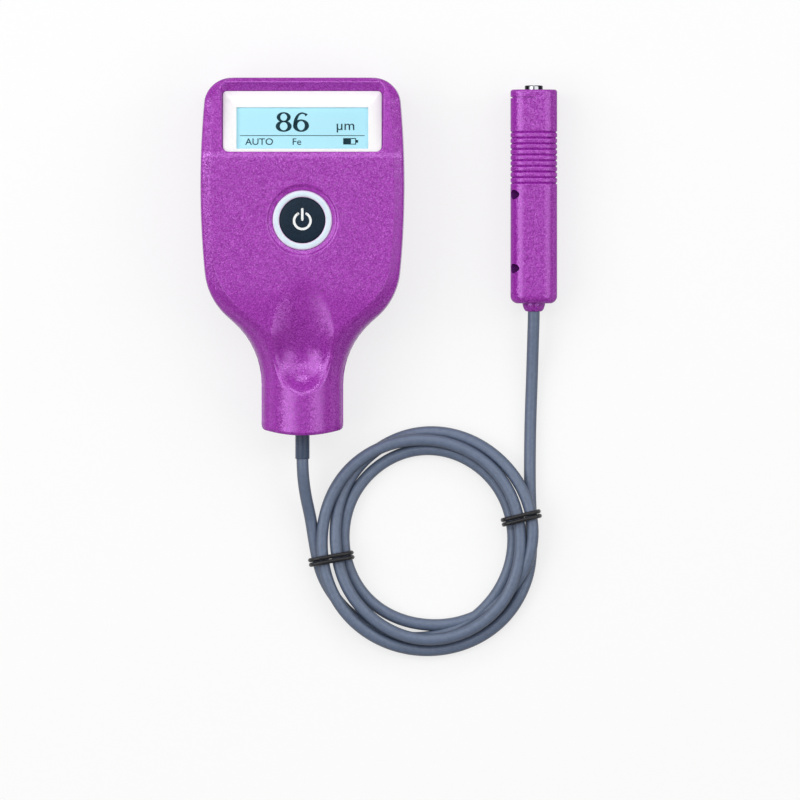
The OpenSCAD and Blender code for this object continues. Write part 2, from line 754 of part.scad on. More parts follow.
probe_stations = concat(
    [for (a = [0, 30, 60, 90]) [probe_end_r * (1 - cos(a)), probe_end_r * (1 - sin(a))]],
    groove_stations,
    [[probe_l - 0.9, 0], [probe_l - 0.35, 0.2], [probe_l, 0.8]]
);
probe_rings = [for (s = probe_stations) probe_ring(s[0], s[1])];
module probe_bar() {
    m = len(probe_rings) - 1;
    k = len(probe_rings[0]);
    polyhedron(
        points = [for (ring = probe_rings) each ring],
        faces = concat(
            [for (i = [0:m - 1], j = [0:k - 1]) [i * k + j, i * k + (j + 1) % k, (i + 1) * k + (j + 1) % k]],
            [for (i = [0:m - 1], j = [0:k - 1]) [i * k + j, (i + 1) * k + (j + 1) % k, (i + 1) * k + j]],
            [[for (j = [k - 1:-1:0]) j]],
            [[for (j = [0:k - 1]) m * k + j]]
        ),
        convexity = 8
    );
}

// Bores along the probe's axis, from the nub up
probe_end_t = 4;
top_wall = 2;
seat_t = 2;
wire_r = 1.2;
lead_room_r = 3.2;
chamber_top = probe_l - top_wall;
flange_t = 2;
bush_low = chamber_top - bush_l;
tip_flange_top = bush_low - 0.05;
seat_y = tip_flange_top - flange_t - spring_l;
module along(y0, y1, r) {
    translate([0, y0, 0]) rotate([-90, 0, 0]) cylinder(r = r, h = y1 - y0);
}
probe_screw_ys = [probe_l - probe_screw_drop, probe_l - probe_screw_drop - probe_screw_gap];
probe_screw_r = 0.8;
probe_screw_seat = -3.2;
probe_screw_l = 6.5;
probe_screw_end = probe_screw_seat + probe_screw_l + 0.3;
module probe_nub() {
    rotate([90, 0, 0]) rotate_extrude() polygon([
        [0, -eps], [nub_r, -eps], [nub_r, 0.1], [nub_r * 0.9, nub_l * 0.6], [nub_r * 0.75, nub_l * 0.9],
        [nub_r * 0.6, nub_l], [0, nub_l]
    ]);
}
module probe_hollows() {
    along(-nub_l - eps, probe_end_t + eps, cord_r);
    along(probe_end_t, seat_y - seat_t, lead_room_r);
    along(seat_y - seat_t - eps, seat_y + eps, wire_r);
    along(seat_y, chamber_top, chamber_r);
    along(chamber_top - eps, probe_l + eps, tip_r + 0.15);
}
module probe_half(side) {
    at_probe() difference() {
        intersection() {
            union() {
                probe_bar();
                probe_nub();
            }
            translate([side < 0 ? -probe_w : 0, -nub_l - eps, -probe_w])
                cube([probe_w, probe_l + nub_l + 2 * eps, 2 * probe_w]);
        }
        probe_hollows();
        for (y = probe_screw_ys) translate([0, y, probe_screw_up]) rotate([0, 90, 0]) {
            translate([0, 0, -probe_w]) cylinder(r = screw_pocket_r, h = probe_w + probe_screw_seat);
            translate([0, 0, -probe_w])
                cylinder(r = probe_screw_r + (side < 0 ? 0.1 : 0), h = probe_w + probe_screw_end);
        }
        if (side < 0) probe_cap_line();
    }
}

// Shallow line round the left half near the measuring end
cap_line_drop = 2.3;
cap_line_w = 0.35;
cap_line_depth = 0.3;
module probe_cap_line() {
    inner = probe_hw - cap_line_depth;
    translate([0, probe_l - cap_line_drop, 0]) rotate([90, 0, 0]) linear_extrude(cap_line_w) difference() {
        square(2 * probe_w, center = true);
        translate([0, -inner]) round_plate(2 * inner, 2 * inner, probe_corner_r - cap_line_depth);
    }
}
module probe_housing_left() {
    color(purple) probe_half(-1);
}
module probe_housing_right() {
    color(purple) probe_half(1);
}
module probe_screws() {
    color("silver") at_probe() for (y = probe_screw_ys)
        translate([probe_screw_seat, y, probe_screw_up]) rotate([0, 90, 0])
        cross_screw(probe_screw_r, screw_pocket_r - 0.1, 1.2, probe_screw_l);
}

// Measuring tip: a polished sleeve round a wound core, sprung outwards in a bush
tip_wall = 0.5;
core_r = 1;
tip_chamfer = 0.3;
tip_end = probe_l + tip_reach;
module guide_bush() {
    color("goldenrod") at_probe() difference() {
        along(bush_low, chamber_top, chamber_r);
        along(bush_low - eps, chamber_top + eps, tip_r + 0.06);
    }
}
module tip_sleeve() {
    color("lightsteelblue") at_probe() difference() {
        union() {
            along(tip_flange_top - flange_t, tip_end - tip_chamfer, tip_r);
            translate([0, tip_end - tip_chamfer, 0]) rotate([-90, 0, 0])
                cylinder(r1 = tip_r, r2 = tip_r - tip_chamfer, h = tip_chamfer);
            along(tip_flange_top - flange_t, tip_flange_top, chamber_r - 0.3);
        }
        along(tip_flange_top - flange_t - eps, tip_end + eps, tip_r - tip_wall);
    }
}
module tip_core() {
    color("gray") at_probe() {
        along(tip_flange_top - flange_t, tip_end - tip_chamfer, core_r);
        translate([0, tip_end - tip_chamfer, 0]) rotate([-90, 0, 0])
            cylinder(r1 = core_r, r2 = core_r - tip_chamfer, h = tip_chamfer);
    }
}
winding_gap = 1;
module tip_winding() {
    color("chocolate") at_probe() difference() {
        along(tip_flange_top - flange_t, tip_end - winding_gap, tip_r - tip_wall);
        along(tip_flange_top - flange_t - eps, tip_end + eps, core_r);
    }
}

// Compression spring on a helix, with its ends touching seat and flange
spring_r = chamber_r - 0.9;
spring_steps = 14;
spring_sides = 6;
spring_rings = spring_turns * spring_steps;
function spring_ring(i) =
    let (
        a = 360 * i / spring_steps,
        y = seat_y + mix(spring_wire / 2, spring_l - spring_wire / 2, i / spring_rings)
    )
    [for (s = [0:spring_sides - 1]) let (b = 360 * s / spring_sides, r = spring_r + spring_wire / 2 * cos(b))
        [r * cos(a), y + spring_wire / 2 * sin(b), r * sin(a)]];
module tube(rings) {
    m = len(rings) - 1;
    k = len(rings[0]);
    polyhedron(
        points = [for (ring = rings) each ring],
        faces = concat(
            [for (i = [0:m - 1], j = [0:k - 1]) [i * k + j, (i + 1) * k + j, (i + 1) * k + (j + 1) % k]],
            [for (i = [0:m - 1], j = [0:k - 1]) [i * k + j, (i + 1) * k + (j + 1) % k, i * k + (j + 1) % k]],
            [[for (j = [0:k - 1]) j]],
            [[for (j = [k - 1:-1:0]) m * k + j]]
        ),
        convexity = 10
    );
}
module tip_spring() {
    color("silver") at_probe() tube([for (i = [0:spring_rings]) spring_ring(i)]);
}

// Stop crimped on the lead inside the probe
stop_l = 3;
module cable_stop() {
    color("dimgray") at_probe() difference() {
        along(probe_end_t, probe_end_t + stop_l, lead_room_r - 0.1);
        along(probe_end_t - eps, probe_end_t + stop_l + eps, cord_r);
    }
}

// Lead's route from the neck to the coil, and from the probe to the coil
lead_path = [
    [0, end_y + 7, part_z], [0, end_y - 1, part_z], [0, end_y - 8, part_z], [0.3, -69, 11.2], [1.2, -75, 8.4],
    [2.3, -80, 5.8], [3.4, -85, 4], [4.6, -90, 3.2], [5, -91.5, 3.1]
];
probe_path = [
    [probe_x, probe_low_y + 7, probe_hw], [probe_x, probe_low_y - 0.4, probe_hw],
    [probe_x, probe_low_y - 4.4, probe_hw - 0.1], [71.2, -25, 6], [71, -32, 4.2], [70.8, -39, 2.8],
    [70.5, -47, 2.1], [70.3, -55, 2], [70.2, -63, 2], [70.2, -71, 2.6], [70.4, -78, 3.1], [70.8, -84, 3.1]
];
cord_sides = 8;
function unit(v) = v / norm(v);
function cord_ring(path, i) =
    let (
        t = unit(path[min(i + 1, len(path) - 1)] - path[max(i - 1, 0)]),
        side = unit(cross(t, [0, 0, 1])),
        up = cross(side, t)
    )
    [for (s = [0:cord_sides - 1]) let (b = 360 * (s + 0.5) / cord_sides)
        path[i] + cord_r * (cos(b) * side + sin(b) * up)];
module cord_tube(path) {
    tube([for (i = [0:len(path) - 1]) cord_ring(path, i)]);
}
module cord_lead() {
    color(slate) cord_tube(lead_path);
}
module probe_lead() {
    color(slate) cord_tube(probe_path);
}

// Coil that lies on its two ties
coil_place = [38, -88, 0];
coil_soft_r = cord_r;
module coil_section(grow) {
    w = coil_out_r - coil_in_r + 2 * grow;
    translate([(coil_in_r + coil_out_r) / 2, tie_t - grow])
        round_plate(w, coil_h + 2 * grow, coil_soft_r + grow);
}
module cord_coil() {
    color(slate) translate(coil_place) rotate_extrude() coil_section(0);
}
tie_gap = 0.06;
module coil_tie(angle) {
    translate(coil_place) rotate([90, 0, angle]) translate([0, 0, -tie_w / 2])
        linear_extrude(tie_w) difference() {
            coil_section(tie_t);
            coil_section(tie_gap);
        }
}
tie_left_a = 190.5;
tie_right_a = 13.7;
module coil_tie_left() {
    color("black") coil_tie(tie_left_a);
}
module coil_tie_right() {
    color("black") coil_tie(tie_right_a);
}

front_housing();
rear_housing();
battery_door();
display_window();
display_glass();
backlight();
display_flex();
button_ring();
power_button();
switch_plunger();
tact_switch();
main_board();
board_chips();
radio_module();
battery_left();
battery_right();
contact_plus();
contact_minus();
contact_bridge();
housing_screws();
board_screws();
cable_sleeve();
probe_housing_left();
probe_housing_right();
probe_screws();
guide_bush();
tip_sleeve();
tip_core();
tip_winding();
tip_spring();
cable_stop();
cord_lead();
cord_coil();
probe_lead();
coil_tie_left();
coil_tie_right();
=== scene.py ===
import math

import bmesh
import bpy
from mathutils import Matrix, Vector


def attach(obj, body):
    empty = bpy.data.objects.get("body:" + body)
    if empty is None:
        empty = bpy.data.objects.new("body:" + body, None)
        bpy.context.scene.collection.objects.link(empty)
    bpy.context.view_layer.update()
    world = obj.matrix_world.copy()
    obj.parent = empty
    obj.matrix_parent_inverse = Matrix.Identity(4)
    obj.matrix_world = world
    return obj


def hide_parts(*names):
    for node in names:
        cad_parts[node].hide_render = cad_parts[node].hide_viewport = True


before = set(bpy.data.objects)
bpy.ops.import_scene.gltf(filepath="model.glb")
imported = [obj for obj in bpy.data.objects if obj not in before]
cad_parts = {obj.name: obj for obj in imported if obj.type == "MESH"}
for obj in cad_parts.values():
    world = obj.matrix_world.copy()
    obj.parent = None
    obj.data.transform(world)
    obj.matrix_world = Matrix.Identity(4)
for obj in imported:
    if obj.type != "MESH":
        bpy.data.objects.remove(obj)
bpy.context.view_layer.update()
scene = bpy.context.scene
scene.view_settings.view_transform = "Standard"

# Front housing: the upper half of the gauge's shell, moulded in ABS and sprayed with metallic purple.
# One skin runs from the bowed head, with its slanted side edges, over round shoulders into the neck.
# Four screws from the back hold it on the rear housing, and a fine groove shows where the halves meet.
mm = 0.001
top_y, end_y, part_z, body_t = 55.0, -55.0, 12.6, 28.0
head_hw, neck_r, widest_y, shoulder_y, bow_r = 31.5, 12.6, 22.0, -5.0, 280.0
shoulder_r, waist_r, flank, corner_r, edge_r, top_edge_r = 21.0, 25.5, math.radians(48.5), 7.5, 3.0, 1.5
bow_a = math.asin((widest_y - shoulder_y) / bow_r)
shoulder_cx = head_hw - bow_r * (1 - math.cos(bow_a)) - shoulder_r * math.cos(bow_a)
shoulder_cy = shoulder_y + shoulder_r * math.sin(bow_a)
flank_top_x = shoulder_cx + shoulder_r * math.cos(flank)
flank_top_y = shoulder_cy - shoulder_r * math.sin(flank)
flank_low_x = neck_r + waist_r * (1 - math.cos(flank))
flank_low_y = flank_top_y - (flank_top_x - flank_low_x) / math.tan(flank)
waist_y = flank_low_y - waist_r * math.sin(flank)
corner_y = top_y - corner_r
bend_y, bend_r, frame_tilt = 31.2, 8.0, math.radians(16)
bend_low_y = bend_y - bend_r * math.tan(frame_tilt / 2)
bend_high_y = bend_low_y + bend_r * math.sin(frame_tilt)
fall_y = bend_low_y - 40


def smooth(t):
    """Share from 0 to 1 that starts and ends level."""
    t = min(1.0, max(0.0, t))
    return t * t * (3 - 2 * t)


def half_width(y):
    """Half-width of the body's outline at y, in millimetres."""
    if y >= shoulder_y:
        cut = corner_r - math.sqrt(max(0.0, corner_r ** 2 - (y - corner_y) ** 2)) if y > corner_y else 0.0
        return head_hw - bow_r + math.sqrt(bow_r ** 2 - (y - widest_y) ** 2) - cut
    if y >= flank_top_y:
        return shoulder_cx + math.sqrt(shoulder_r ** 2 - (shoulder_cy - y) ** 2)
    if y >= flank_low_y:
        return flank_top_x - (flank_top_y - y) * math.tan(flank)
    if y >= waist_y:
        return neck_r + waist_r - math.sqrt(waist_r ** 2 - (y - waist_y) ** 2)
    return neck_r


def face_height(y):
    """Height of the button face at y, with the rounding over the top end."""
    over = max(0.0, y - (top_y - top_edge_r))
    cut = top_edge_r - math.sqrt(max(0.0, top_edge_r ** 2 - over ** 2))
    if y >= bend_high_y:
        return body_t - (y - bend_y) * math.tan(frame_tilt) - cut
    if y >= bend_low_y:
        return body_t - bend_r + math.sqrt(bend_r ** 2 - (y - bend_low_y) ** 2)
    if y >= fall_y:
        return body_t
    return 2 * neck_r + (body_t - 2 * neck_r) * smooth((y - waist_y) / (fall_y - waist_y))


def scoop_height(x, y):
    """Height of the thumb scoop's floor: a round-ended gouge that rises towards the button."""
    r, tilt, cz = 11.5, math.radians(25), 31.7
    cy = waist_y - 2.2 + math.sqrt(r ** 2 - (r - 5) ** 2)
    if abs(x) >= r:
        return 99.0
    z = cz + ((y - cy) * math.sin(tilt) - math.sqrt(r * r - x * x)) / math.cos(tilt)
    if (y - cy) * math.cos(tilt) + (z - cz) * math.sin(tilt) >= 0:
        return z
    left = r * r - x * x - (y - cy) ** 2
    return cz - math.sqrt(left) if left > 0 else 99.0


def soft_min(a, b, k):
    """The lower of two heights, rounded over k where they meet."""
    h = max(k - abs(a - b), 0.0) / k
    return min(a, b) - h * h * k / 4


edge_steps, edge_lean, edge_turn, side_draft = 40, 58.5, 0.35, 0.25
edge_path = [(0.0, 0.0)]
for i in range(edge_steps):
    t = (i + 0.5) / edge_steps
    slope = math.radians(90 - edge_lean * smooth(t / edge_turn))
    edge_path.append((edge_path[-1][0] + math.cos(slope), edge_path[-1][1] + math.sin(slope)))


def section_point(w, h, r, slant, s):
    """Point of a cross-section at share s of its length, from the left foot to the right foot."""
    wt = w - side_draft
    rx = min(r, 0.98 * wt)
    rz = min(r, 0.98 * h) * (1 - slant + slant * edge_path[-1][1] / edge_path[-1][0])
    side, arc, flat = h - rz, math.pi * (rx + rz) / 4, 2 * (wt - rx)
    turn = 1.0 if s <= 0.5 else -1.0
    s = min(s, 1 - s)
    even = s * (2 * side + 2 * arc + flat)
    stepped = side * min(1, 8 * s) + arc * min(1, max(0, 8 * s - 1)) + flat * max(0, 2 * s - 0.5)
    run = even + (stepped - even) * slant
    if run <= side:
        x, z = w - side_draft * run / side, run
    elif run <= side + arc:
        t = (run - side) / arc
        a = math.pi / 2 * t
        k = min(int(edge_steps * t), edge_steps - 1)
        inset, rise = (p + (q - p) * (edge_steps * t - k) for p, q in zip(edge_path[k], edge_path[k + 1]))
        inset = (1 - slant) * (1 - math.cos(a)) + slant * inset / edge_path[-1][0]
        rise = (1 - slant) * math.sin(a) + slant * rise / edge_path[-1][1]
        x, z = wt - rx * inset, h - rz * (1 - rise)
    else:
        x, z = wt - rx - (run - side - arc), h
    return -turn * x, z


neck_bow, neck_edge_r = 2.0, 1.2
bow_end_r = (neck_r ** 2 + neck_bow ** 2) / (2 * neck_bow)
neck_rows = []
for share in (0.0, 0.06, 0.14, 0.22, 0.3, 0.4, 0.5, 0.6, 0.7, 0.8, 0.88):
    w = share * neck_r
    neck_rows.append((end_y - 0.35 + bow_end_r - math.sqrt(bow_end_r ** 2 - w * w), w))
for rise, cut in ((1.36, 0.95), (1.68, 0.5), (2.1, 0.2), (2.55, 0.05), (3.05, 0.0)):
    neck_rows.append((end_y + rise, neck_r - cut))


def neck_end_point(y, w, s):
    """Point of the bowed neck end at share s of its row, with the edge over the end rolled off."""
    def top(x):
        below = [row for row in neck_rows if row[1] <= abs(x) + 1e-9]
        in_by = max(0.0, neck_edge_r - (y - below[-1][0]))
        return max(0.0, math.sqrt(max(0.0, neck_r ** 2 - x * x)) - neck_edge_r
                   + math.sqrt(max(0.0, neck_edge_r ** 2 - in_by ** 2)))
    side, arc = top(w), 2 * neck_r * math.asin(w / neck_r)
    run = s * (2 * side + arc)
    if run < side:
        return -w, run
    if run > side + arc:
        return w, 2 * side + arc - run
    x = neck_r * math.sin((run - side - arc / 2) / neck_r)
    return x, top(x)


# Rows across the body, closest over the scoop, the bend under the display and the upper corners.
body_ys = [-51.0 + 0.75 * i for i in range(8)] + [-45.0 + 0.45 * i for i in range(83)]
body_ys += [-7.0 + 2.6 * i for i in range(15)]
body_ys += [bend_low_y + bend_r * math.sin(frame_tilt * i / 6) for i in range(7)]
body_ys += [36.0, 40.0, 43.0, 45.5]
corner_ys = [corner_y + corner_r * math.sin(math.radians(6 * i)) for i in range(16)]
body_ys += sorted(corner_ys + [top_y - top_edge_r])
columns = 240
seam_in, seam_rise = 0.2, 0.22
scoop_low, scoop_high, scoop_hw, scoop_soft, scoop_fade = -46, 0, 12, 2.2, 1.2

bm = bmesh.new()
rows = len(neck_rows) + len(body_ys) + 1
grid = bmesh.ops.create_grid(bm, x_segments=columns, y_segments=rows - 1, size=1.0)["verts"]
for v in grid:
    j = round((v.co.x + 1) / 2 * columns)
    i = round((v.co.y + 1) / 2 * (rows - 1))
    if i < len(neck_rows):
        y, w = neck_rows[i]
        x, z = neck_end_point(y, w, j / columns)
    else:
        y = body_ys[min(i - len(neck_rows), len(body_ys) - 1)]
        w, h = half_width(y), face_height(y) - part_z
        fall = smooth((shoulder_y + 4 - y) / (shoulder_y + 4 - waist_y))
        r = (edge_r + (neck_r - edge_r) * fall) * (1 - 0.3 * smooth((y - 45) / 8))
        x, z = section_point(w, h, r, 1 - smooth(1.5 * fall), j / columns)
    if i == rows - 1:
        z = 0.0
    elif scoop_low < y < scoop_high and abs(x) < scoop_hw:
        soft = scoop_soft + scoop_fade * smooth((y + 36) / 18)
        z = soft_min(part_z + z, scoop_height(x, y), soft) - part_z
    if j in (0, columns):
        x -= math.copysign(seam_in, x)
    if j in (1, columns - 1) and i < rows - 1:
        z, x = seam_rise, math.copysign(w, x)
    v.co = Vector((x, y, part_z + z)) * mm
bend_hw, flat_hw, flat_low, flat_high = 26.2, 15, -5, 27


def on_frame(v):
    """Whether a vertex lies on the flat of the tilted frame."""
    x, y, z = v.co / mm
    low = bend_low_y + 0.7 if abs(x) < bend_hw else bend_high_y - 0.01
    return low < y < top_y - top_edge_r + 0.01 and abs(z - face_height(y)) < 0.004


def on_face(v):
    """Whether a vertex lies on the flat round the button."""
    x, y, z = v.co / mm
    return abs(x) < flat_hw and flat_low < y < flat_high and abs(z - body_t) < 0.004


def open_flat(bm, inside):
    """Takes the faces out of a flat area and gives back the edges round it."""
    gone = [f for f in bm.faces if all(inside(v) for v in f.verts)]
    bmesh.ops.delete(bm, geom=gone, context="FACES")
    return [e for e in bm.edges if e.is_boundary and all(inside(v) for v in e.verts)]


def grow_loop(bm, edges, place):
    """Extrudes a loop of edges and puts each new vertex where place(old vertex) says."""
    old = {v for e in edges for v in e.verts}
    made = bmesh.ops.extrude_edge_only(bm, edges=edges)["geom"]
    new = {v for v in made if isinstance(v, bmesh.types.BMVert)}
    source = {v: next(e.other_vert(v) for e in v.link_edges if e.other_vert(v) in old) for v in new}
    for v in new:
        v.co = place(source[v])
    return [e for e in made if isinstance(e, bmesh.types.BMEdge) and set(e.verts) <= new], source


# The display's recess in that housing, moulded with it: its floor follows the window, which tilts more
# than the frame, and its upper wall leans back most.
window_tilt = math.radians(21)
window_y, window_w, window_l = bend_y + 0.85, 49.0, 20.2
window_z = body_t - 0.85 * math.tan(frame_tilt) - 0.8
window_place = Matrix.Translation(Vector((0, window_y, window_z)) * mm)
window_place = window_place @ Matrix.Rotation(-window_tilt, 4, "X")


def rounded_sheet(bm, w, low, high, low_r, high_r, z=0.0):
    """A rectangle with rounded corners in the window's own frame, as one face."""
    made = bmesh.ops.create_grid(bm, x_segments=1, y_segments=1, size=1.0)["verts"]
    for v in made:
        v.co = Vector((v.co.x * w / 2, low if v.co.y < 0 else high, z)) * mm
    for r, pick in ((low_r, [v for v in made if v.co.y < (low + high) / 2 * mm]),
                    (high_r, [v for v in made if v.co.y > (low + high) / 2 * mm])):
        bmesh.ops.bevel(bm, geom=pick, offset=r * mm, offset_type="OFFSET", affect="VERTICES", segments=8,
                        profile=0.5, material=-1)


recess = bmesh.new()
rounded_sheet(recess, window_w + 0.2, -0.1, window_l + 0.1, 2.0, 1.4)
bmesh.ops.delete(recess, geom=recess.faces[:], context="FACES_ONLY")
outward = {}
for v in recess.verts:
    before, after = [e.other_vert(v).co for e in v.link_edges]
    along = (after - before).normalized()
    side = Vector((along.y, -along.x, 0))
    outward[v] = side if side.dot(v.co - Vector((0, window_l / 2 * mm, 0))) > 0 else -side
frame_in_window = window_place.inverted() @ Vector((0, bend_y * mm, body_t * mm))
frame_slope = math.tan(window_tilt - frame_tilt)
wall_lean, top_lean = 14, 20
lip_w, lip_turn = 0.4, 0.45


def recess_rim(v):
    """Where the wall over a floor point meets the tilted frame."""
    n = outward[v]
    lean = math.tan(math.radians(wall_lean if n.y <= 0 else wall_lean + top_lean * n.y ** 2))
    if n.y < 0:
        lean *= 1 - 0.8 * n.y ** 2
    level = frame_in_window.z + (v.co.y - frame_in_window.y) * frame_slope
    rise = level / (1 - n.y * lean * frame_slope)
    return v.co + Vector((n.x * lean, n.y * lean, 1)) * rise


rim = {v: recess_rim(v) for v in recess.verts}
lip, shoulder = {}, {}
for v, top in rim.items():
    lip[v] = top + Vector((outward[v].x, outward[v].y, outward[v].y * frame_slope)) * lip_w * mm
    shoulder[v] = top + (v.co - top).normalized() * min(lip_turn * mm, (v.co - top).length * 0.6)
kept = {v: v for v in rim}
edges = recess.edges[:]
grow_loop(recess, edges, lambda v: v.co - Vector((0, 0, 1.5 * mm)))
for t in (0.0, 0.25, 0.5, 0.75, 1.0):
    start = dict(kept)
    edges, source = grow_loop(recess, edges, lambda v: (1 - t) ** 2 * shoulder[start[v]]
                              + 2 * t * (1 - t) * rim[start[v]] + t * t * lip[start[v]])
    kept = {v: start[s] for v, s in source.items()}
bmesh.ops.transform(recess, matrix=window_place, verts=recess.verts)
for v in kept:
    v.co.z = face_height(v.co.y / mm) * mm
recess_mesh = bpy.data.meshes.new("recess")
recess.to_mesh(recess_mesh)
recess.free()
frame_edges = open_flat(bm, on_frame)
before = set(bm.verts)
bm.from_mesh(recess_mesh)
bpy.data.meshes.remove(recess_mesh)
added = {v for v in bm.verts if v not in before}
lip_edges = [e for e in bm.edges if e.is_boundary and set(e.verts) <= added
             and all(abs(v.co.z - face_height(v.co.y / mm) * mm) < 1e-6 for v in e.verts)]
bmesh.ops.triangle_fill(bm, use_beauty=True, edges=frame_edges + lip_edges)

# The button's opening in that housing, moulded with it: a shallow dish with a soft rim, and in its
# middle the hole that the pale ring fills.
button_y, dish_r = 11.0, 11.35
face_edges = open_flat(bm, on_face)
circle = bmesh.ops.create_circle(bm, cap_ends=False, radius=dish_r * mm, segments=128,
                                 matrix=Matrix.Translation(Vector((0, button_y, body_t)) * mm))["verts"]
edges = list({e for v in circle for e in v.link_edges})
bmesh.ops.triangle_fill(bm, use_beauty=True, edges=face_edges + edges)
for r, z in ((11.2, 27.98), (11.0, 27.92), (10.8, 27.8), (10.6, 27.62), (10.45, 27.48), (10.3, 27.4),
             (10.1, 27.35), (9.6, 27.32), (9.32, 27.28), (9.26, 25.6)):
    edges, _ = grow_loop(bm, edges, lambda v: Vector((0, button_y * mm, z * mm)) + r * mm
                         * Vector((v.co.x, v.co.y - button_y * mm, 0)).normalized())

# The edge along the parting line is turned in, so that the groove between the halves has a floor.
foot = [e for e in bm.edges if e.is_boundary and all(abs(v.co.z - part_z * mm) < 1e-6 for v in e.verts)]
seam_depth, least_x, top_end = 1.2 * mm, 0.006, 0.05
for rise in (0.0, 1.5):
    foot, _ = grow_loop(bm, foot, lambda v: Vector((v.co.x * (1 - seam_depth / max(abs(v.co.x), least_x)),
                                                    v.co.y - seam_depth * (1 if v.co.y > top_end else 0),
                                                    part_z * mm + rise * mm)))


def linear(code):
    """Linear colour of an sRGB hex value."""
    parts = [int(code[i:i + 2], 16) / 255 for i in (0, 2, 4)]
    return tuple(c / 12.92 if c <= 0.04045 else ((c + 0.055) / 1.055) ** 2.4 for c in parts) + (1.0,)


def add_node(tree, kind, inputs=(), stops=(), **settings):
    """Adds a node with its settings, its values, its links and its colour stops, as (place, hex) pairs."""
    made = tree.nodes.new(kind)
    for name, value in settings.items():
        setattr(made, name, value)
    for name, value in dict(inputs).items():
        if isinstance(value, bpy.types.NodeSocket):
            tree.links.new(value, made.inputs[name])
        else:
            made.inputs[name].default_value = value
    if stops:
        elements = made.color_ramp.elements
        while len(elements) < len(stops):
            elements.new(1.0)
        for element, (spot, code) in zip(elements, stops):
            element.position, element.color = spot, linear(code)
    return made


def new_finish(name, **values):
    """A material with its shader's own values set; gives back material, tree, shader and coordinates."""
    material = bpy.data.materials.new(name)
    material.use_nodes = True
    tree = material.node_tree
    shader = tree.nodes["Principled BSDF"]
    for key, value in values.items():
        shader.inputs[key.replace("_", " ")].default_value = value
    return material, tree, shader, add_node(tree, "ShaderNodeTexCoord").outputs["Object"]


# Sprayed metallic lacquer on ABS: flakes of about 0.26 mm, each tilted its own way, glitter in a purple
# base with a slight ripple. They give the paint its grain and break up its highlights, which tend to
# lilac and fade on faces that turn away. The flakes are drawn coarser than real ones, so that they show.
purple_paint, tree, shader, place = new_finish("metallic_purple_lacquer", Metallic=0.1, Roughness=0.26,
                                               IOR=1.7)
shader.inputs["Specular Tint"].default_value = linear("E4C2F6")
edge = add_node(tree, "ShaderNodeLayerWeight", {"Blend": 0.5})
gloss = add_node(tree, "ShaderNodeMapRange", {"Value": edge.outputs["Facing"], "From Min": 0.15,
                                              "From Max": 0.5, "To Min": 1.0, "To Max": 0.06})
tree.links.new(gloss.outputs["Result"], shader.inputs["Specular IOR Level"])
flakes = add_node(tree, "ShaderNodeTexVoronoi", {"Vector": place, "Scale": 1 / (0.26 * mm)})
grey = add_node(tree, "ShaderNodeSeparateColor", {"Color": flakes.outputs["Color"]})
cloud = add_node(tree, "ShaderNodeTexNoise", {"Vector": place, "Scale": 1 / (0.5 * mm), "Detail": 3.0})
blend = add_node(tree, "ShaderNodeMath", {0: grey.outputs["Red"], 1: 0.9}, operation="MULTIPLY")
total = add_node(tree, "ShaderNodeMath", {0: cloud.outputs["Fac"], 1: 0.1, 2: blend.outputs["Value"]},
                 operation="MULTIPLY_ADD")
ramp = add_node(tree, "ShaderNodeValToRGB", {"Fac": total.outputs["Value"]},
                stops=((0.0, "841A90"), (0.5, "A42AB2"), (1.0, "C452D2")))
tree.links.new(ramp.outputs["Color"], shader.inputs["Base Color"])
peel = add_node(tree, "ShaderNodeTexNoise", {"Vector": place, "Scale": 1 / (0.8 * mm), "Detail": 2.0})
bump = add_node(tree, "ShaderNodeBump", {"Height": peel.outputs["Fac"], "Strength": 0.05,
                                         "Distance": 0.05 * mm})
tilt = add_node(tree, "ShaderNodeVectorMath", {0: flakes.outputs["Color"], 1: (0.5, 0.5, 0.5)},
                operation="SUBTRACT")
facet = add_node(tree, "ShaderNodeVectorMath", {0: tilt.outputs["Vector"], 1: (0.18, 0.18, 0.18),
                                                2: bump.outputs["Normal"]}, operation="MULTIPLY_ADD")
facet = add_node(tree, "ShaderNodeVectorMath", {0: facet.outputs["Vector"]}, operation="NORMALIZE")
tree.links.new(facet.outputs["Vector"], shader.inputs["Normal"])


def finished(name, bm, material, body, slot, *nodes, sharp=38):
    """Closes a piece's mesh, shades it, ties it to its body and hides the solids it stands for; the slot is
    not used.
    """
    bmesh.ops.remove_doubles(bm, verts=bm.verts, dist=1e-6)
    bmesh.ops.recalc_face_normals(bm, faces=bm.faces)
    for f in bm.faces:
        f.smooth = True
    for e in bm.edges:
        e.smooth = len(e.link_faces) == 2 and e.calc_face_angle() < math.radians(sharp)
    mesh = bpy.data.meshes.new(name)
    bm.to_mesh(mesh)
    bm.free()
    mesh.materials.append(material)
    piece = bpy.data.objects.new(name, mesh)
    scene.collection.objects.link(piece)
    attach(piece, body)
    if nodes:
        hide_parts(*nodes)
    return piece


front = finished("front_housing_skin", bm, purple_paint, "gauge", "purple_shell", "front_housing", sharp=29)
front.modifiers.new("weighted", "WEIGHTED_NORMAL").keep_sharp = True

# Rear housing: the lower half of the shell, moulded in the same ABS and sprayed with the front one.
# It carries the battery bay, the door's channel, the posts for the board and the four screw pockets.
rear = bmesh.new()
rear.from_mesh(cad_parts["rear_housing"].data)
rear = finished("rear_housing_skin", rear, purple_paint, "gauge", "purple_shell", "rear_housing", sharp=32)
rear.modifiers.new("weighted", "WEIGHTED_NORMAL").keep_sharp = True

# Battery door: a flat moulded plate with side tongues, sprayed like the shells. It slides in the rear
# housing's channel and comes off past the top end.
door = bmesh.new()
door.from_mesh(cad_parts["battery_door"].data)
finished("battery_door_plate", door, purple_paint, "door", "purple_shell", "battery_door", sharp=32)

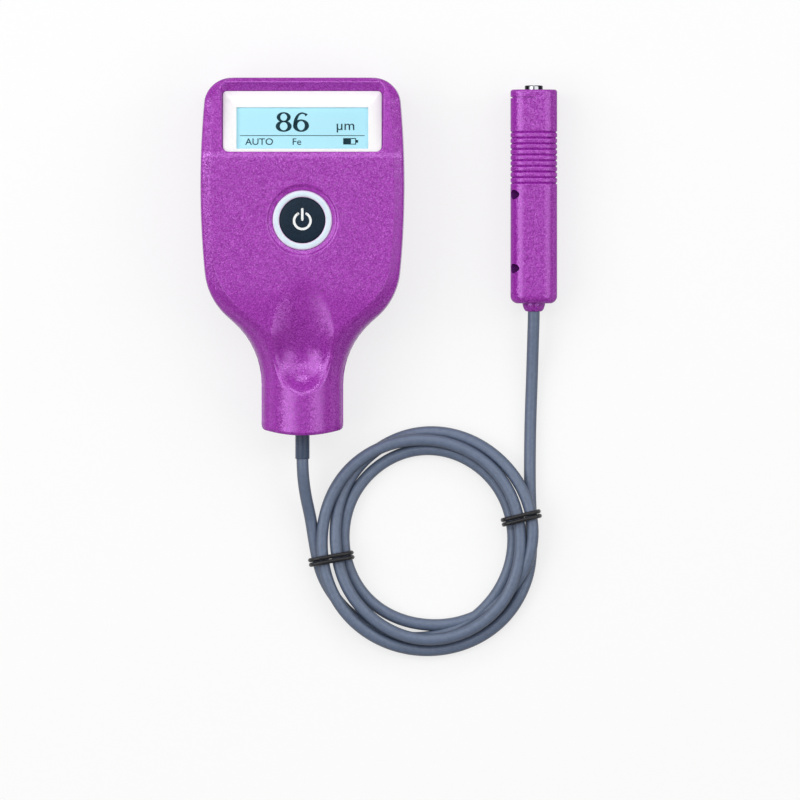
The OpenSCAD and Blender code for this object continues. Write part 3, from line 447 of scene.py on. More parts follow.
# Display window: a clear acrylic plate, printed white from behind except over the display.
# It is glued on the ledge in the recess.
bm = bmesh.new()
rounded_sheet(bm, window_w, 0.0, window_l, 1.9, 1.3)
bmesh.ops.delete(bm, geom=bm.faces[:], context="FACES_ONLY")
window_t, lcd_hw, lcd_low, lcd_high = 1.5, 20.3, 1.05, 14.85
hole = bmesh.ops.create_grid(bm, x_segments=1, y_segments=1, size=1.0)["verts"]
for v in hole:
    v.co = Vector((v.co.x * lcd_hw, lcd_low if v.co.y < 0 else lcd_high, 0)) * mm
bmesh.ops.delete(bm, geom=bm.faces[:], context="FACES_ONLY")
bmesh.ops.triangle_fill(bm, use_beauty=True, edges=bm.edges[:])
made = bmesh.ops.extrude_face_region(bm, geom=bm.faces[:])["geom"]
bmesh.ops.translate(bm, vec=Vector((0, 0, -window_t * mm)),
                    verts=[v for v in made if isinstance(v, bmesh.types.BMVert)])


def off_display(v):
    """Whether a vertex lies outside the opening in the print."""
    x, y = v.co.x / mm, v.co.y / mm
    return abs(x) > lcd_hw + 0.1 or y > lcd_high + 0.15 or y < lcd_low - 0.05


rim_edges = [e for e in bm.edges if all(v.co.z > -1e-7 for v in e.verts) and e.is_manifold
             and e.calc_face_angle() > 1 and any(off_display(v) for v in e.verts)]
bmesh.ops.bevel(bm, geom=rim_edges, offset=0.2 * mm, offset_type="OFFSET", affect="EDGES", segments=2,
                profile=0.5, material=-1)
bmesh.ops.transform(bm, matrix=window_place, verts=bm.verts)
# Screen print behind clear acrylic: an even white with a hard gloss, faintly mottled by the ink.
white_print, tree, shader, place = new_finish("white_print_under_acrylic", Roughness=0.18, IOR=1.49)
ink = add_node(tree, "ShaderNodeTexNoise", {"Vector": place, "Scale": 1 / (2.0 * mm), "Detail": 2.0})
ramp = add_node(tree, "ShaderNodeValToRGB", {"Fac": ink.outputs["Fac"]},
                stops=((0.3, "FAFAF9"), (0.7, "FEFEFD")))
tree.links.new(ramp.outputs["Color"], shader.inputs["Base Color"])
finished("display_window_print", bm, white_print, "gauge", "window_mask", "display_window", sharp=30)

# Display glass: a liquid-crystal panel of two thin glass plates, lit from behind and pale blue where
# nothing is driven. It lies just under the window, behind the ledge.
glass_w, glass_l, glass_t, glass_y, glass_z = 43.6, 18.6, 0.5, 10.1, -1.0
bm = bmesh.new()
made = bmesh.ops.create_cube(bm, size=1.0)["verts"]
for v in made:
    v.co = Vector((v.co.x * glass_w, glass_y + v.co.y * glass_l, glass_z + glass_t * v.co.z)) * mm
bmesh.ops.bevel(bm, geom=bm.edges[:], offset=0.1 * mm, offset_type="OFFSET", affect="EDGES", segments=2,
                profile=0.5, material=-1)
bmesh.ops.transform(bm, matrix=window_place, verts=bm.verts)
# Lit liquid-crystal film: an even pale blue with a faint cell pattern of 0.3 mm and a gloss like glass.
lit_film, tree, shader, place = new_finish("lit_liquid_crystal_film", Roughness=0.45, IOR=1.5)
cells = add_node(tree, "ShaderNodeTexChecker", {"Vector": place, "Scale": 1 / (0.3 * mm),
                                                "Color1": linear("B4EDFC"), "Color2": linear("AEE8F8")})
tree.links.new(cells.outputs["Color"], shader.inputs["Base Color"])
finished("display_panel", bm, lit_film, "gauge", "display_glass", "display_glass")

# Driven marks on that panel: a two-figure reading, its unit, a line, plain mode marks and a battery sign.
# They are dark films in the glass, drawn here as thin plates on it.
bm = bmesh.new()
mark_z, mark_t = -0.72, 0.04


def ring_mark(bm, cx, cy, out_x, out_y, in_x, in_y):
    """A figure's bowl: thick at the sides and thin at top and bottom."""
    loops = []
    for rx, ry in ((out_x, out_y), (in_x, in_y)):
        made = bmesh.ops.create_circle(bm, cap_ends=False, radius=1.0, segments=40)["verts"]
        for v in made:
            v.co = Vector((cx + v.co.x * rx, cy + v.co.y * ry, mark_z)) * mm
        loops += list({e for v in made for e in v.link_edges})
    bmesh.ops.bridge_loops(bm, edges=loops)


def block_mark(bm, x0, x1, y0, y1):
    """An upright bar or block between two corners."""
    made = bmesh.ops.create_grid(bm, x_segments=1, y_segments=1, size=0.5)["verts"]
    for v in made:
        v.co = Vector((x0 + (v.co.x + 0.5) * (x1 - x0), y0 + (v.co.y + 0.5) * (y1 - y0), mark_z)) * mm


ring_mark(bm, -5.75, 11.75, 2.15, 1.65, 1.05, 1.2)
ring_mark(bm, -5.75, 8.75, 2.45, 1.85, 1.2, 1.35)
ring_mark(bm, -0.4, 8.95, 2.45, 2.05, 1.15, 1.55)
strip = bmesh.ops.create_grid(bm, x_segments=24, y_segments=1, size=1.0)["verts"]
for v in strip:
    t = (v.co.x + 1) / 2
    a = math.radians(182 - 128 * t)
    wide = 0.55 - 0.3 * smooth(t) + (0.3 * smooth((t - 0.85) / 0.15))
    v.co = Vector(((2.25 + v.co.y * wide) * math.cos(a), 9.2 + (3.9 + v.co.y * wide * 0.8) * math.sin(a),
                   mark_z)) * mm
block_mark(bm, -19.2, 19.2, 5.55, 5.75)
block_mark(bm, 12.6, 16.3, 2.7, 2.95)
block_mark(bm, 12.6, 16.3, 4.55, 4.8)
block_mark(bm, 12.6, 15.0, 2.95, 4.55)
block_mark(bm, 16.3, 16.55, 2.7, 4.8)
block_mark(bm, 16.55, 17.2, 3.3, 4.2)
for words, size, x, y in (("µm", 4.6, 10.2, 7.5), ("AUTO", 3.1, -17.6, 2.6), ("Fe", 3.1, -3.2, 2.6)):
    line = bpy.data.curves.new(words, "FONT")
    line.body, line.size = words, size * mm
    holder = bpy.data.objects.new("line", line)
    scene.collection.objects.link(holder)
    bpy.context.view_layer.update()
    flat = bpy.data.meshes.new_from_object(holder)
    flat.transform(Matrix.Translation(Vector((x, y, mark_z)) * mm))
    bm.from_mesh(flat)
    bpy.data.objects.remove(holder)
    bpy.data.curves.remove(line)
    bpy.data.meshes.remove(flat)
made = bmesh.ops.extrude_face_region(bm, geom=bm.faces[:])["geom"]
bmesh.ops.translate(bm, vec=Vector((0, 0, mark_t * mm)),
                    verts=[v for v in made if isinstance(v, bmesh.types.BMVert)])
bmesh.ops.transform(bm, matrix=window_place, verts=bm.verts)
# Driven crystal: a dull dark teal that lets a little of the light through, unevenly over 0.5 mm.
dark_mark, tree, shader, place = new_finish("driven_crystal_teal", Roughness=0.5, Specular_IOR_Level=0.1)
grain = add_node(tree, "ShaderNodeTexNoise", {"Vector": place, "Scale": 1 / (0.5 * mm)})
ramp = add_node(tree, "ShaderNodeValToRGB", {"Fac": grain.outputs["Fac"]},
                stops=((0.3, "142F39"), (0.7, "1F404B")))
tree.links.new(ramp.outputs["Color"], shader.inputs["Base Color"])
finished("display_marks", bm, dark_mark, "gauge", "display_glass")

# Button ring: a pale translucent polycarbonate ring that the lamp behind it lights. It is pushed in
# from behind and held by a flange under the face.


def turned(profile, centre, axis, steps=96):
    """A body of revolution: profile points are (radius, distance along the axis), in millimetres."""
    bm = bmesh.new()
    axis = Vector(axis)
    side = Vector((1, 0, 0)) if abs(axis.x) < 0.5 else Vector((0, 1, 0))
    verts = [bm.verts.new((Vector(centre) + side * r + axis * h) * mm) for r, h in profile]
    edges = [bm.edges.new(pair) for pair in zip(verts, verts[1:])]
    bmesh.ops.spin(bm, geom=verts + edges, cent=Vector(centre) * mm, axis=axis, angle=2 * math.pi,
                   steps=steps, use_merge=True)
    return bm


bm = turned([(7.1, 24.6), (10.5, 24.6), (10.5, 25.9), (9.2, 25.9), (9.2, 27.0), (9.15, 27.25),
             (8.97, 27.42), (8.6, 27.5), (7.7, 27.52), (7.35, 27.46), (7.15, 27.3), (7.1, 27.0), (7.1, 24.6)],
            (0, button_y, 0), (0, 0, 1), 128)
# Milky polycarbonate: pale blue-white and glossy, with moulding clouds of 3 mm. A little light scatters
# in it. Painted reflection: its base colour turns lilac where its rims turn from the eye, for the paint round
# it.
milky_ring, tree, shader, place = new_finish("milky_polycarbonate", Roughness=0.25, IOR=1.58)
shader.inputs["Subsurface Weight"].default_value = 0.15
shader.inputs["Subsurface Radius"].default_value = (0.001, 0.001, 0.0012)
cloud = add_node(tree, "ShaderNodeTexNoise", {"Vector": place, "Scale": 1 / (3.0 * mm)})
ramp = add_node(tree, "ShaderNodeValToRGB", {"Fac": cloud.outputs["Fac"]},
                stops=((0.3, "DCEFFA"), (0.7, "E6F5FE")))
# Painted reflection: lilac mixed into the base colour where the surface turns from the eye.
edge = add_node(tree, "ShaderNodeLayerWeight", {"Blend": 0.5})
turn = add_node(tree, "ShaderNodeMapRange", {"Value": edge.outputs["Facing"], "From Min": 0.01,
                                             "From Max": 0.12})
tint = add_node(tree, "ShaderNodeMixRGB", {"Fac": turn.outputs["Result"], "Color1": ramp.outputs["Color"],
                                           "Color2": linear("ECD4F6")})
tree.links.new(tint.outputs["Color"], shader.inputs["Base Color"])
finished("button_ring_pale", bm, milky_ring, "gauge", "pale_ring", "button_ring")

# Power button: a dark cap with a softly rounded rim, moulded in ABS with the stem that presses the
# switch. A flange under the ring keeps it in.
bm = turned([(0.0, 20.2), (2.0, 20.2), (2.0, 23.55), (7.6, 23.55), (7.6, 24.3), (6.97, 24.3), (6.97, 27.1),
             (6.93, 27.35), (6.8, 27.52), (6.5, 27.63), (5.0, 27.76), (2.5, 27.86), (0.0, 27.9)],
            (0, button_y, 0), (0, 0, 1), 128)
# Moulded ABS in slate black, half dull from a spark-eroded mould. Its texture is drawn at 0.35 mm, coarser
# than a real one, so that it shows.
dark_cap, tree, shader, place = new_finish("slate_black_abs", Roughness=0.45, Specular_IOR_Level=0.12)
grit = add_node(tree, "ShaderNodeTexNoise", {"Vector": place, "Scale": 1 / (0.35 * mm), "Detail": 4.0})
ramp = add_node(tree, "ShaderNodeValToRGB", {"Fac": grit.outputs["Fac"]},
                stops=((0.35, "172531"), (0.65, "203143")))
tree.links.new(ramp.outputs["Color"], shader.inputs["Base Color"])
bump = add_node(tree, "ShaderNodeBump", {"Height": grit.outputs["Fac"], "Strength": 0.2,
                                         "Distance": 0.04 * mm})
tree.links.new(bump.outputs["Normal"], shader.inputs["Normal"])
finished("power_button_cap", bm, dark_cap, "button", "black_button", "power_button")

# Power sign on that cap: an open ring and an upright bar with round ends, printed in white ink. It is
# drawn as a thin film that follows the cap's crown.
sign_r, stroke_r, ink_t, open_a, shut_a = 2.54, 0.37, 0.08, 121, 59
bar_low, bar_high = 0.38, 3.58
bm = bmesh.new()
section = bmesh.ops.create_grid(bm, x_segments=4, y_segments=1, size=1.0)["verts"]
for v in section:
    a = math.radians(open_a)
    r = sign_r + stroke_r * v.co.x
    v.co = Vector((r * math.cos(a), r * math.sin(a), ink_t / 2 * v.co.y)) * mm
bmesh.ops.spin(bm, geom=bm.verts[:] + bm.edges[:] + bm.faces[:], cent=(0, 0, 0), axis=(0, 0, 1),
               angle=math.radians(360 - open_a + shut_a), steps=60, use_merge=False)
made = bmesh.ops.create_cube(bm, size=1.0)["verts"]
for v in made:
    v.co = Vector((v.co.x * 2 * stroke_r, (bar_low + bar_high) / 2 + v.co.y * (bar_high - bar_low),
                   v.co.z * ink_t)) * mm
ends = [(0, bar_low), (0, bar_high)]
for a in (open_a, shut_a):
    ends.append((sign_r * math.cos(math.radians(a)), sign_r * math.sin(math.radians(a))))
for x, y in ends:
    bmesh.ops.create_cone(bm, cap_ends=True, segments=24, radius1=stroke_r * mm, radius2=stroke_r * mm,
                          depth=ink_t * mm, matrix=Matrix.Translation(Vector((x, y, 0)) * mm))
for v in bm.verts:
    r = math.hypot(v.co.x, v.co.y) / mm
    v.co.z += (27.9 - 0.04 * (r / 2.5) ** 1.5) * mm
    v.co.y += (button_y - 0.2) * mm
# Pad-printed ink: a flat opaque white, slightly rough, with a grain of 0.4 mm.
white_ink, tree, shader, place = new_finish("pad_printed_white", Roughness=0.5)
grain = add_node(tree, "ShaderNodeTexNoise", {"Vector": place, "Scale": 1 / (0.4 * mm)})
ramp = add_node(tree, "ShaderNodeValToRGB", {"Fac": grain.outputs["Fac"]},
                stops=((0.3, "F2F4F5"), (0.7, "FFFFFF")))
tree.links.new(ramp.outputs["Color"], shader.inputs["Base Color"])
finished("power_sign", bm, white_ink, "button", "pale_ring")

# Lead's sleeve: a short dark tube moulded in rubber, which keeps the lead from kinking. Its collar is
# caught behind the neck's end wall.
bm = turned([(1.86, -62.5), (2.0, -62.6), (2.12, -62.55), (2.2, -62.35), (2.2, -50.0), (4.5, -50.0),
             (4.5, -47.5), (1.86, -47.5), (1.86, -62.5)], (0, 0, part_z), (0, 1, 0), 48)
# Moulded rubber in dark slate: half dull, with a fine matt grain of 0.3 mm.
black_rubber, tree, shader, place = new_finish("black_rubber", Roughness=0.4)
grain = add_node(tree, "ShaderNodeTexNoise", {"Vector": place, "Scale": 1 / (0.3 * mm), "Detail": 3.0})
ramp = add_node(tree, "ShaderNodeValToRGB", {"Fac": grain.outputs["Fac"]},
                stops=((0.3, "38465C"), (0.7, "485972")))
tree.links.new(ramp.outputs["Color"], shader.inputs["Base Color"])
finished("cable_sleeve_tube", bm, black_rubber, "gauge", "dark_sleeve", "cable_sleeve")

# Lead: a slate-blue round cable with a drawn jacket. It leaves the neck, goes down to the floor, lies
# in a coil of three and a half turns that two ties hold, and runs on to the probe's nub.
cord_r = 1.85
lead_points = [(0, -48, 12.6), (0, -52, 12.6), (0, -56, 12.6), (0, -60, 12.6), (0, -63, 12.6),
               (0.1, -66, 12.2), (0.3, -69, 11.2), (0.7, -72, 9.9), (1.2, -75, 8.4), (1.8, -77.6, 7.0),
               (2.3, -80, 5.8), (2.8, -82.5, 4.8)]
probe_points = [(70.8, -84, 3.1), (70.4, -78, 3.1), (70.2, -71, 2.6), (70.2, -63, 2.0), (70.3, -55, 2.0),
                (70.5, -47, 2.1), (70.8, -39, 2.8), (71.0, -32, 4.2), (71.2, -25, 6.0), (71.4, -19, 7.1),
                (71.4, -15, 7.2), (71.4, -11, 7.2), (71.4, -7.6, 7.2)]
# Radius and height of the cord's middle in the coil, at every eighth of a turn from the left side round.
coil_x, coil_y, start_a = 38.0, -88.0, 180
strand = [(34.4, 2.2), (32.4, 1.9), (29.9, 1.9), (27.6, 1.9), (27.2, 1.9), (28.2, 1.9), (28.6, 1.9),
          (27.0, 1.9), (25.4, 1.9), (25.3, 1.9), (25.9, 1.9), (29.0, 1.9), (33.2, 5.2), (34.2, 3.6),
          (33.9, 1.9), (30.9, 2.6), (27.9, 4.6), (28.7, 5.2), (30.6, 5.6), (30.6, 5.6), (29.4, 5.1),
          (30.6, 4.7), (31.5, 4.6), (32.6, 5.8), (32.2, 5.2), (33.4, 5.2), (33.9, 1.9), (34.2, 1.9),
          (33.0, 1.9)]
tie_angle, tie_lift, floor_z = math.radians(12.1), 1.2, 1.87
coil_points = []
for k in range(len(strand) * 4 - 3):
    u = k / 4
    i = min(int(u), len(strand) - 2)
    t = u - i
    picks = [strand[min(max(i + d, 0), len(strand) - 1)] for d in (-1, 0, 1, 2)]
    r, z = (0.5 * (2 * b + (c - a) * t + (2 * a - 5 * b + 4 * c - d) * t * t
                   + (3 * b - a - 3 * c + d) * t ** 3) for a, b, c, d in zip(*picks))
    angle = math.radians(start_a + 45 * u)
    lift = tie_lift * math.cos(angle - tie_angle) ** 2
    coil_points.append((coil_x + r * math.cos(angle), coil_y + r * math.sin(angle), max(z, floor_z) + lift))
route = lead_points + coil_points[1:-1] + probe_points
cord = bpy.data.curves.new("lead", "CURVE")
cord.dimensions, cord.bevel_depth, cord.bevel_resolution = "3D", cord_r * mm, 6
cord.resolution_u, cord.use_fill_caps = 4, True
line = cord.splines.new("NURBS")
line.points.add(len(route) - 1)
for point, (x, y, z) in zip(line.points, route):
    point.co = (x * mm, y * mm, z * mm, 1.0)
line.order_u, line.use_endpoint_u = 4, True
# PVC cable jacket: slate blue, half glossy from the die, with faint rubbed patches of about 1.2 mm. Its
# base colour darkens towards the cord's edges as they turn from the eye: painted shade.
slate_jacket, tree, shader, place = new_finish("slate_blue_pvc", Roughness=0.38)
rub = add_node(tree, "ShaderNodeTexNoise", {"Vector": place, "Scale": 1 / (1.2 * mm), "Detail": 3.0})
ramp = add_node(tree, "ShaderNodeValToRGB", {"Fac": rub.outputs["Fac"]},
                stops=((0.3, "66738A"), (0.7, "6F7D97")))
# Painted shade: the base colour darkens to a deep slate where the surface turns from the eye.
edge = add_node(tree, "ShaderNodeLayerWeight", {"Blend": 0.5})
turn = add_node(tree, "ShaderNodeMapRange", {"Value": edge.outputs["Facing"], "From Min": 0.2,
                                             "From Max": 0.8})
tint = add_node(tree, "ShaderNodeMixRGB", {"Fac": turn.outputs["Result"], "Color1": ramp.outputs["Color"],
                                           "Color2": linear("3A4558")})
tree.links.new(tint.outputs["Color"], shader.inputs["Base Color"])
bump = add_node(tree, "ShaderNodeBump", {"Height": rub.outputs["Fac"], "Strength": 0.05,
                                         "Distance": 0.05 * mm})
tree.links.new(bump.outputs["Normal"], shader.inputs["Normal"])
cord.materials.append(slate_jacket)
lead = bpy.data.objects.new("lead_cord", cord)
scene.collection.objects.link(lead)
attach(lead, "gauge")
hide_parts("cord_lead", "cord_coil", "probe_lead")

# Coil ties: two lengths of soft iron wire in a black plastic coat, each wrapped twice round the
# bundle by hand and pressed on it.
tie_w, tie_t, tie_hh, tie_z, tie_gap, tie_power = 0.66, 0.58, 4.45, 5.05, 0.72, 3.4
# Coated wire: near black, half glossy, with a fine drawn grain of 0.4 mm.
tie_black, tree, shader, place = new_finish("black_coated_wire", Roughness=0.4)
grain = add_node(tree, "ShaderNodeTexNoise", {"Vector": place, "Scale": 1 / (0.4 * mm)})
ramp = add_node(tree, "ShaderNodeValToRGB", {"Fac": grain.outputs["Fac"]},
                stops=((0.3, "141417"), (0.7, "222227")))
tree.links.new(ramp.outputs["Color"], shader.inputs["Base Color"])
for name, degrees, low_r, high_r in (("left", 190.5, 23.6, 35.6), ("right", 13.7, 25.2, 35.6)):
    bm = bmesh.new()
    tie_hw = (high_r - low_r) / 2 + 0.6
    for shift in (-tie_gap, tie_gap):
        grid = bmesh.ops.create_grid(bm, x_segments=96, y_segments=12, size=1.0)["verts"]
        for v in grid:
            t, s = (v.co.x + 1) * math.pi, (v.co.y + 1) * math.pi
            c, d = math.cos(t), math.sin(t)
            square = (abs(c / tie_hw) ** tie_power + abs(d / tie_hh) ** tie_power) ** (-1 / tie_power)
            px, pz = square * c, square * d
            slope = Vector((math.copysign(abs(px / tie_hw) ** (tie_power - 1) / tie_hw, px),
                            math.copysign(abs(pz / tie_hh) ** (tie_power - 1) / tie_hh, pz)))
            slope.normalize()
            px += slope.x * tie_t * math.cos(s)
            pz += slope.y * tie_t * math.cos(s)
            v.co = Vector(((low_r + high_r) / 2 + px, shift + tie_w * math.sin(s), tie_z + pz)) * mm
    bmesh.ops.transform(bm, verts=bm.verts, matrix=Matrix.Translation(Vector((coil_x, coil_y, 0)) * mm)
                        @ Matrix.Rotation(math.radians(degrees), 4, "Z"))
    node = "coil_tie_" + name
    finished(node + "_wire", bm, tie_black, "gauge", "tie_black", node)

# Probe housings: two moulded ABS halves, sprayed like the gauge, that part along the bar. Ten grooves
# give the fingers grip, two screws in pockets on the left side hold the halves together, and a bore in
# the far end lets the tip out.
probe_x, probe_hw, probe_low, probe_high, probe_r = 71.4, 7.2, -14.6, 51.4, 4.6
probe_l, low_edge_r, high_edge_r = 66.0, 2.3, 0.8
groove_pitch, groove_depth, groove_top = 1.745, 0.5, 53.0
step_low, step_high, step_depth = 63.35, 63.75, 0.5
pocket_r, pocket_l, pocket_x, pocket_z = 1.5, 8, probe_x - 3.2 - 4, probe_hw + 5.3
pocket_high, pocket_low, bore_r, bore_l = 19.0, -3.8, 2.95, 4
# Each station is a distance along the bar, how far its section is cut in, and its share of full size.
stations = [(0.0, low_edge_r, share) for share in (0.0, 0.5, 1.0)]
for degrees in range(9, 91, 9):
    a = math.radians(degrees)
    stations.append((low_edge_r * (1 - math.cos(a)), low_edge_r * (1 - math.sin(a)), 1.0))
stations += [(3.5 + 3.0 * i, 0.0, 1.0) for i in range(11)]
for k in range(10, 211):
    away = abs((k / 20 + 0.5) % 1.0 - 0.5) * 2
    cut = groove_depth * max(0.0, 1 - away / 0.6) ** 2
    stations.append((groove_top - 10.1 * groove_pitch + k / 20 * groove_pitch, cut, 1.0))
stations += [(54.5 + 1.5 * i, 0.0, 1.0) for i in range(6)]
stations += [(along, 0.0, 1.0) for along in (63.2, 63.3, 63.36, 63.74, 63.8, probe_l - high_edge_r)]
for degrees in range(15, 91, 15):
    a = math.radians(degrees)
    stations.append((probe_l - high_edge_r + high_edge_r * math.sin(a), high_edge_r * (1 - math.cos(a)), 1.0))
stations += [(probe_l, high_edge_r, share) for share in (0.5, 0.0)]
across, seam_gap, seam_dip = 56, 0.01, 0.05
halves = {}
for name, turn in (("left", -1.0), ("right", 1.0)):
    bm = bmesh.new()
    grid = bmesh.ops.create_grid(bm, x_segments=across, y_segments=len(stations) - 1, size=1.0)["verts"]
    for v in grid:
        u = (v.co.x + 1) / 2
        along, cut, share = stations[round((v.co.y + 1) / 2 * (len(stations) - 1))]
        if turn < 0 and step_low < along < step_high:
            cut = step_depth
        a, r = probe_hw - cut, probe_r - cut
        flat, arc = a - r, math.pi * r / 2
        run = u * (4 * flat + 2 * arc)
        lower = run > 2 * flat + arc
        if lower:
            run = 4 * flat + 2 * arc - run
        if run < flat:
            x, z = run, a
        elif run < flat + arc:
            t = (run - flat) / r
            x, z = flat + r * math.sin(t), flat + r * math.cos(t)
        else:
            x, z = a, flat - (run - flat - arc)
        if u in (0.0, 1.0):
            x, z = seam_gap, z - seam_dip
        v.co = Vector((probe_x + turn * max(x * share, seam_gap), probe_low + along,
                       probe_hw + (-z if lower else z) * share)) * mm
    bmesh.ops.remove_doubles(bm, verts=bm.verts, dist=1e-6)
    bmesh.ops.holes_fill(bm, edges=[e for e in bm.edges if e.is_boundary], sides=0)
    halves[name] = finished("probe_half_" + name, bm, purple_paint, "gauge", "purple_shell",
                            "probe_housing_" + name, sharp=34)
cutter = bmesh.new()
for r, depth, spot, axis, steps in ((pocket_r, pocket_l, (pocket_x, pocket_high, pocket_z), "Y", 48),
                                    (pocket_r, pocket_l, (pocket_x, pocket_low, pocket_z), "Y", 48),
                                    (bore_r, bore_l, (probe_x, probe_high - 1, probe_hw), "X", 64)):
    bore_place = Matrix.Translation(Vector(spot) * mm) @ Matrix.Rotation(math.pi / 2, 4, axis)
    bmesh.ops.create_cone(cutter, cap_ends=True, segments=steps, radius1=r * mm, radius2=r * mm,
                          depth=depth * mm, matrix=bore_place)
cut_mesh = bpy.data.meshes.new("pockets")
cutter.to_mesh(cut_mesh)
cutter.free()
# Painted shade in the pockets and the bore: a dark dull violet with a faint mottle of 0.5 mm, for the
# shade that falls in them.
hollow_painted_shade, tree, shader, place = new_finish("painted_hollow_shade_violet", Roughness=0.6, Specular_IOR_Level=0.1)
mottle = add_node(tree, "ShaderNodeTexNoise", {"Vector": place, "Scale": 1 / (0.5 * mm)})
ramp = add_node(tree, "ShaderNodeValToRGB", {"Fac": mottle.outputs["Fac"]},
                stops=((0.3, "470A55"), (0.7, "5C1470")))
tree.links.new(ramp.outputs["Color"], shader.inputs["Base Color"])
cut_mesh.materials.append(hollow_painted_shade)
pockets = bpy.data.objects.new("pockets", cut_mesh)
scene.collection.objects.link(pockets)
for half in halves.values():
    carve = half.modifiers.new("pockets", "BOOLEAN")
    carve.object, carve.operation = pockets, "DIFFERENCE"
    carve.solver, carve.material_mode = "EXACT", "TRANSFER"
    bpy.context.view_layer.update()
    carved = bpy.data.meshes.new_from_object(half.evaluated_get(bpy.context.evaluated_depsgraph_get()))
    carved.set_sharp_from_angle(angle=math.radians(34))
    half.modifiers.clear()
    half.data = carved
    half.modifiers.new("weighted", "WEIGHTED_NORMAL").keep_sharp = True
bpy.data.objects.remove(pockets)

# Probe's nub: a short tapered collar of the same sprayed ABS, moulded with the halves. The lead leaves
# the probe by it.
bm = turned([(1.87, 1.0), (3.5, 1.0), (3.5, -0.1), (3.42, -0.6), (3.15, -1.5), (2.85, -2.05), (2.5, -2.38),
             (2.1, -2.5), (1.87, -2.45), (1.87, 1.0)], (probe_x, probe_low, probe_hw), (0, 1, 0), 64)
finished("probe_nub", bm, purple_paint, "gauge", "purple_shell")

# Measuring tip: a turned and polished steel sleeve round the sensor's core and winding. It slides in a
# bush, and its flange keeps it in.
bm = turned([(2.3, -12.45), (4.3, -12.45), (4.3, -10.45), (2.8, -10.45), (2.8, 0.95), (2.74, 1.15),
             (2.6, 1.27), (2.4, 1.3), (2.36, 1.28), (2.3, 1.2), (2.3, -12.45)],
            (probe_x, probe_high, probe_hw), (0, 1, 0), 96)
# Polished steel: bright, with turning lines 0.15 mm apart. Painted reflection in its base colour: dark and
# white bands set by the angle to the eye, for the dark room and the lamps that it mirrors.
polished_steel, tree, shader, place = new_finish("polished_steel", Metallic=1.0, Roughness=0.06)
lines = add_node(tree, "ShaderNodeTexWave", {"Vector": place, "Scale": 0.31 / (0.15 * mm), "Distortion": 0.5},
                 bands_direction="Y")
ramp = add_node(tree, "ShaderNodeValToRGB", {"Fac": lines.outputs["Fac"]},
                stops=((0.2, "B4B6BA"), (0.8, "D0D2D6")))
# Painted reflection: the base colour goes dark, white, then dark again as the surface turns from the eye.
edge = add_node(tree, "ShaderNodeLayerWeight", {"Blend": 0.5})
painted_reflection = add_node(tree, "ShaderNodeValToRGB", {"Fac": edge.outputs["Facing"]},
                stops=((0.01, "2A2A2E"), (0.03, "FFFFFF"), (0.09, "FFFFFF"), (0.14, "2A2A2E")))
shade = add_node(tree, "ShaderNodeMixRGB", {"Fac": 1.0, "Color1": ramp.outputs["Color"],
                                            "Color2": painted_reflection.outputs["Color"]}, blend_type="MULTIPLY")
tree.links.new(shade.outputs["Color"], shader.inputs["Base Color"])
finished("tip_sleeve_polished", bm, polished_steel, "tip", "polished_tip", "tip_sleeve")

# Steel pieces inside: the screws of the shells and of the board, the bent battery contacts, the radio's
# pressed can, and the tip's turned core and coiled spring. Like all pieces below they keep their solids.


def dress(finish, *names):
    """Gives solids that keep their form the finish of the real pieces."""
    for name in names:
        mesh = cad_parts[name].data
        mesh.materials.clear()
        mesh.materials.append(finish)


# Zinc-plated steel: a plain grey metal with a fine mottle of 0.6 mm.
plain_steel, tree, shader, place = new_finish("zinc_plated_steel", Metallic=1.0, Roughness=0.32)
mottle = add_node(tree, "ShaderNodeTexNoise", {"Vector": place, "Scale": 1 / (0.6 * mm), "Detail": 4.0})
ramp = add_node(tree, "ShaderNodeValToRGB", {"Fac": mottle.outputs["Fac"]},
                stops=((0.3, "A9ABAE"), (0.7, "C6C8CB")))
tree.links.new(ramp.outputs["Color"], shader.inputs["Base Color"])
dress(plain_steel, "housing_screws", "board_screws", "contact_plus", "contact_minus", "contact_bridge",
      "radio_module", "tip_core", "tip_spring")

# Probe's screws: two short steel screws at the bottom of the pockets, which draw the halves together.
# Blackened steel: dark oxide with worn grey patches of 0.5 mm.
dark_steel, tree, shader, place = new_finish("blackened_steel", Metallic=0.8, Roughness=0.45)
worn = add_node(tree, "ShaderNodeTexNoise", {"Vector": place, "Scale": 1 / (0.5 * mm), "Detail": 4.0})
ramp = add_node(tree, "ShaderNodeValToRGB", {"Fac": worn.outputs["Fac"]},
                stops=((0.4, "1E1E20"), (0.75, "4A4A4E")))
tree.links.new(ramp.outputs["Color"], shader.inputs["Base Color"])
dress(dark_steel, "probe_screws")

# Guide bush: a turned brass bush, clamped between the probe's halves, that the tip slides in.
# Turned brass: warm yellow, with lines 0.2 mm apart.
turned_brass, tree, shader, place = new_finish("turned_brass", Metallic=1.0, Roughness=0.28)
lines = add_node(tree, "ShaderNodeTexWave", {"Vector": place, "Scale": 0.31 / (0.2 * mm)},
                 bands_direction="Y")
ramp = add_node(tree, "ShaderNodeValToRGB", {"Fac": lines.outputs["Fac"]},
                stops=((0.2, "C79A4B"), (0.8, "D9B064")))
tree.links.new(ramp.outputs["Color"], shader.inputs["Base Color"])
dress(turned_brass, "guide_bush")

# Sensor's winding: fine copper wire wound round the core and set in the tip's sleeve.
# Enamelled copper: reddish, with the wire's turns 0.2 mm apart.
copper_wire, tree, shader, place = new_finish("enamelled_copper", Metallic=0.9, Roughness=0.3)
lines = add_node(tree, "ShaderNodeTexWave", {"Vector": place, "Scale": 0.31 / (0.2 * mm)},
                 bands_direction="Y")
ramp = add_node(tree, "ShaderNodeValToRGB", {"Fac": lines.outputs["Fac"]},
                stops=((0.2, "8E4A22"), (0.8, "C4713C")))
tree.links.new(ramp.outputs["Color"], shader.inputs["Base Color"])
dress(copper_wire, "tip_winding")

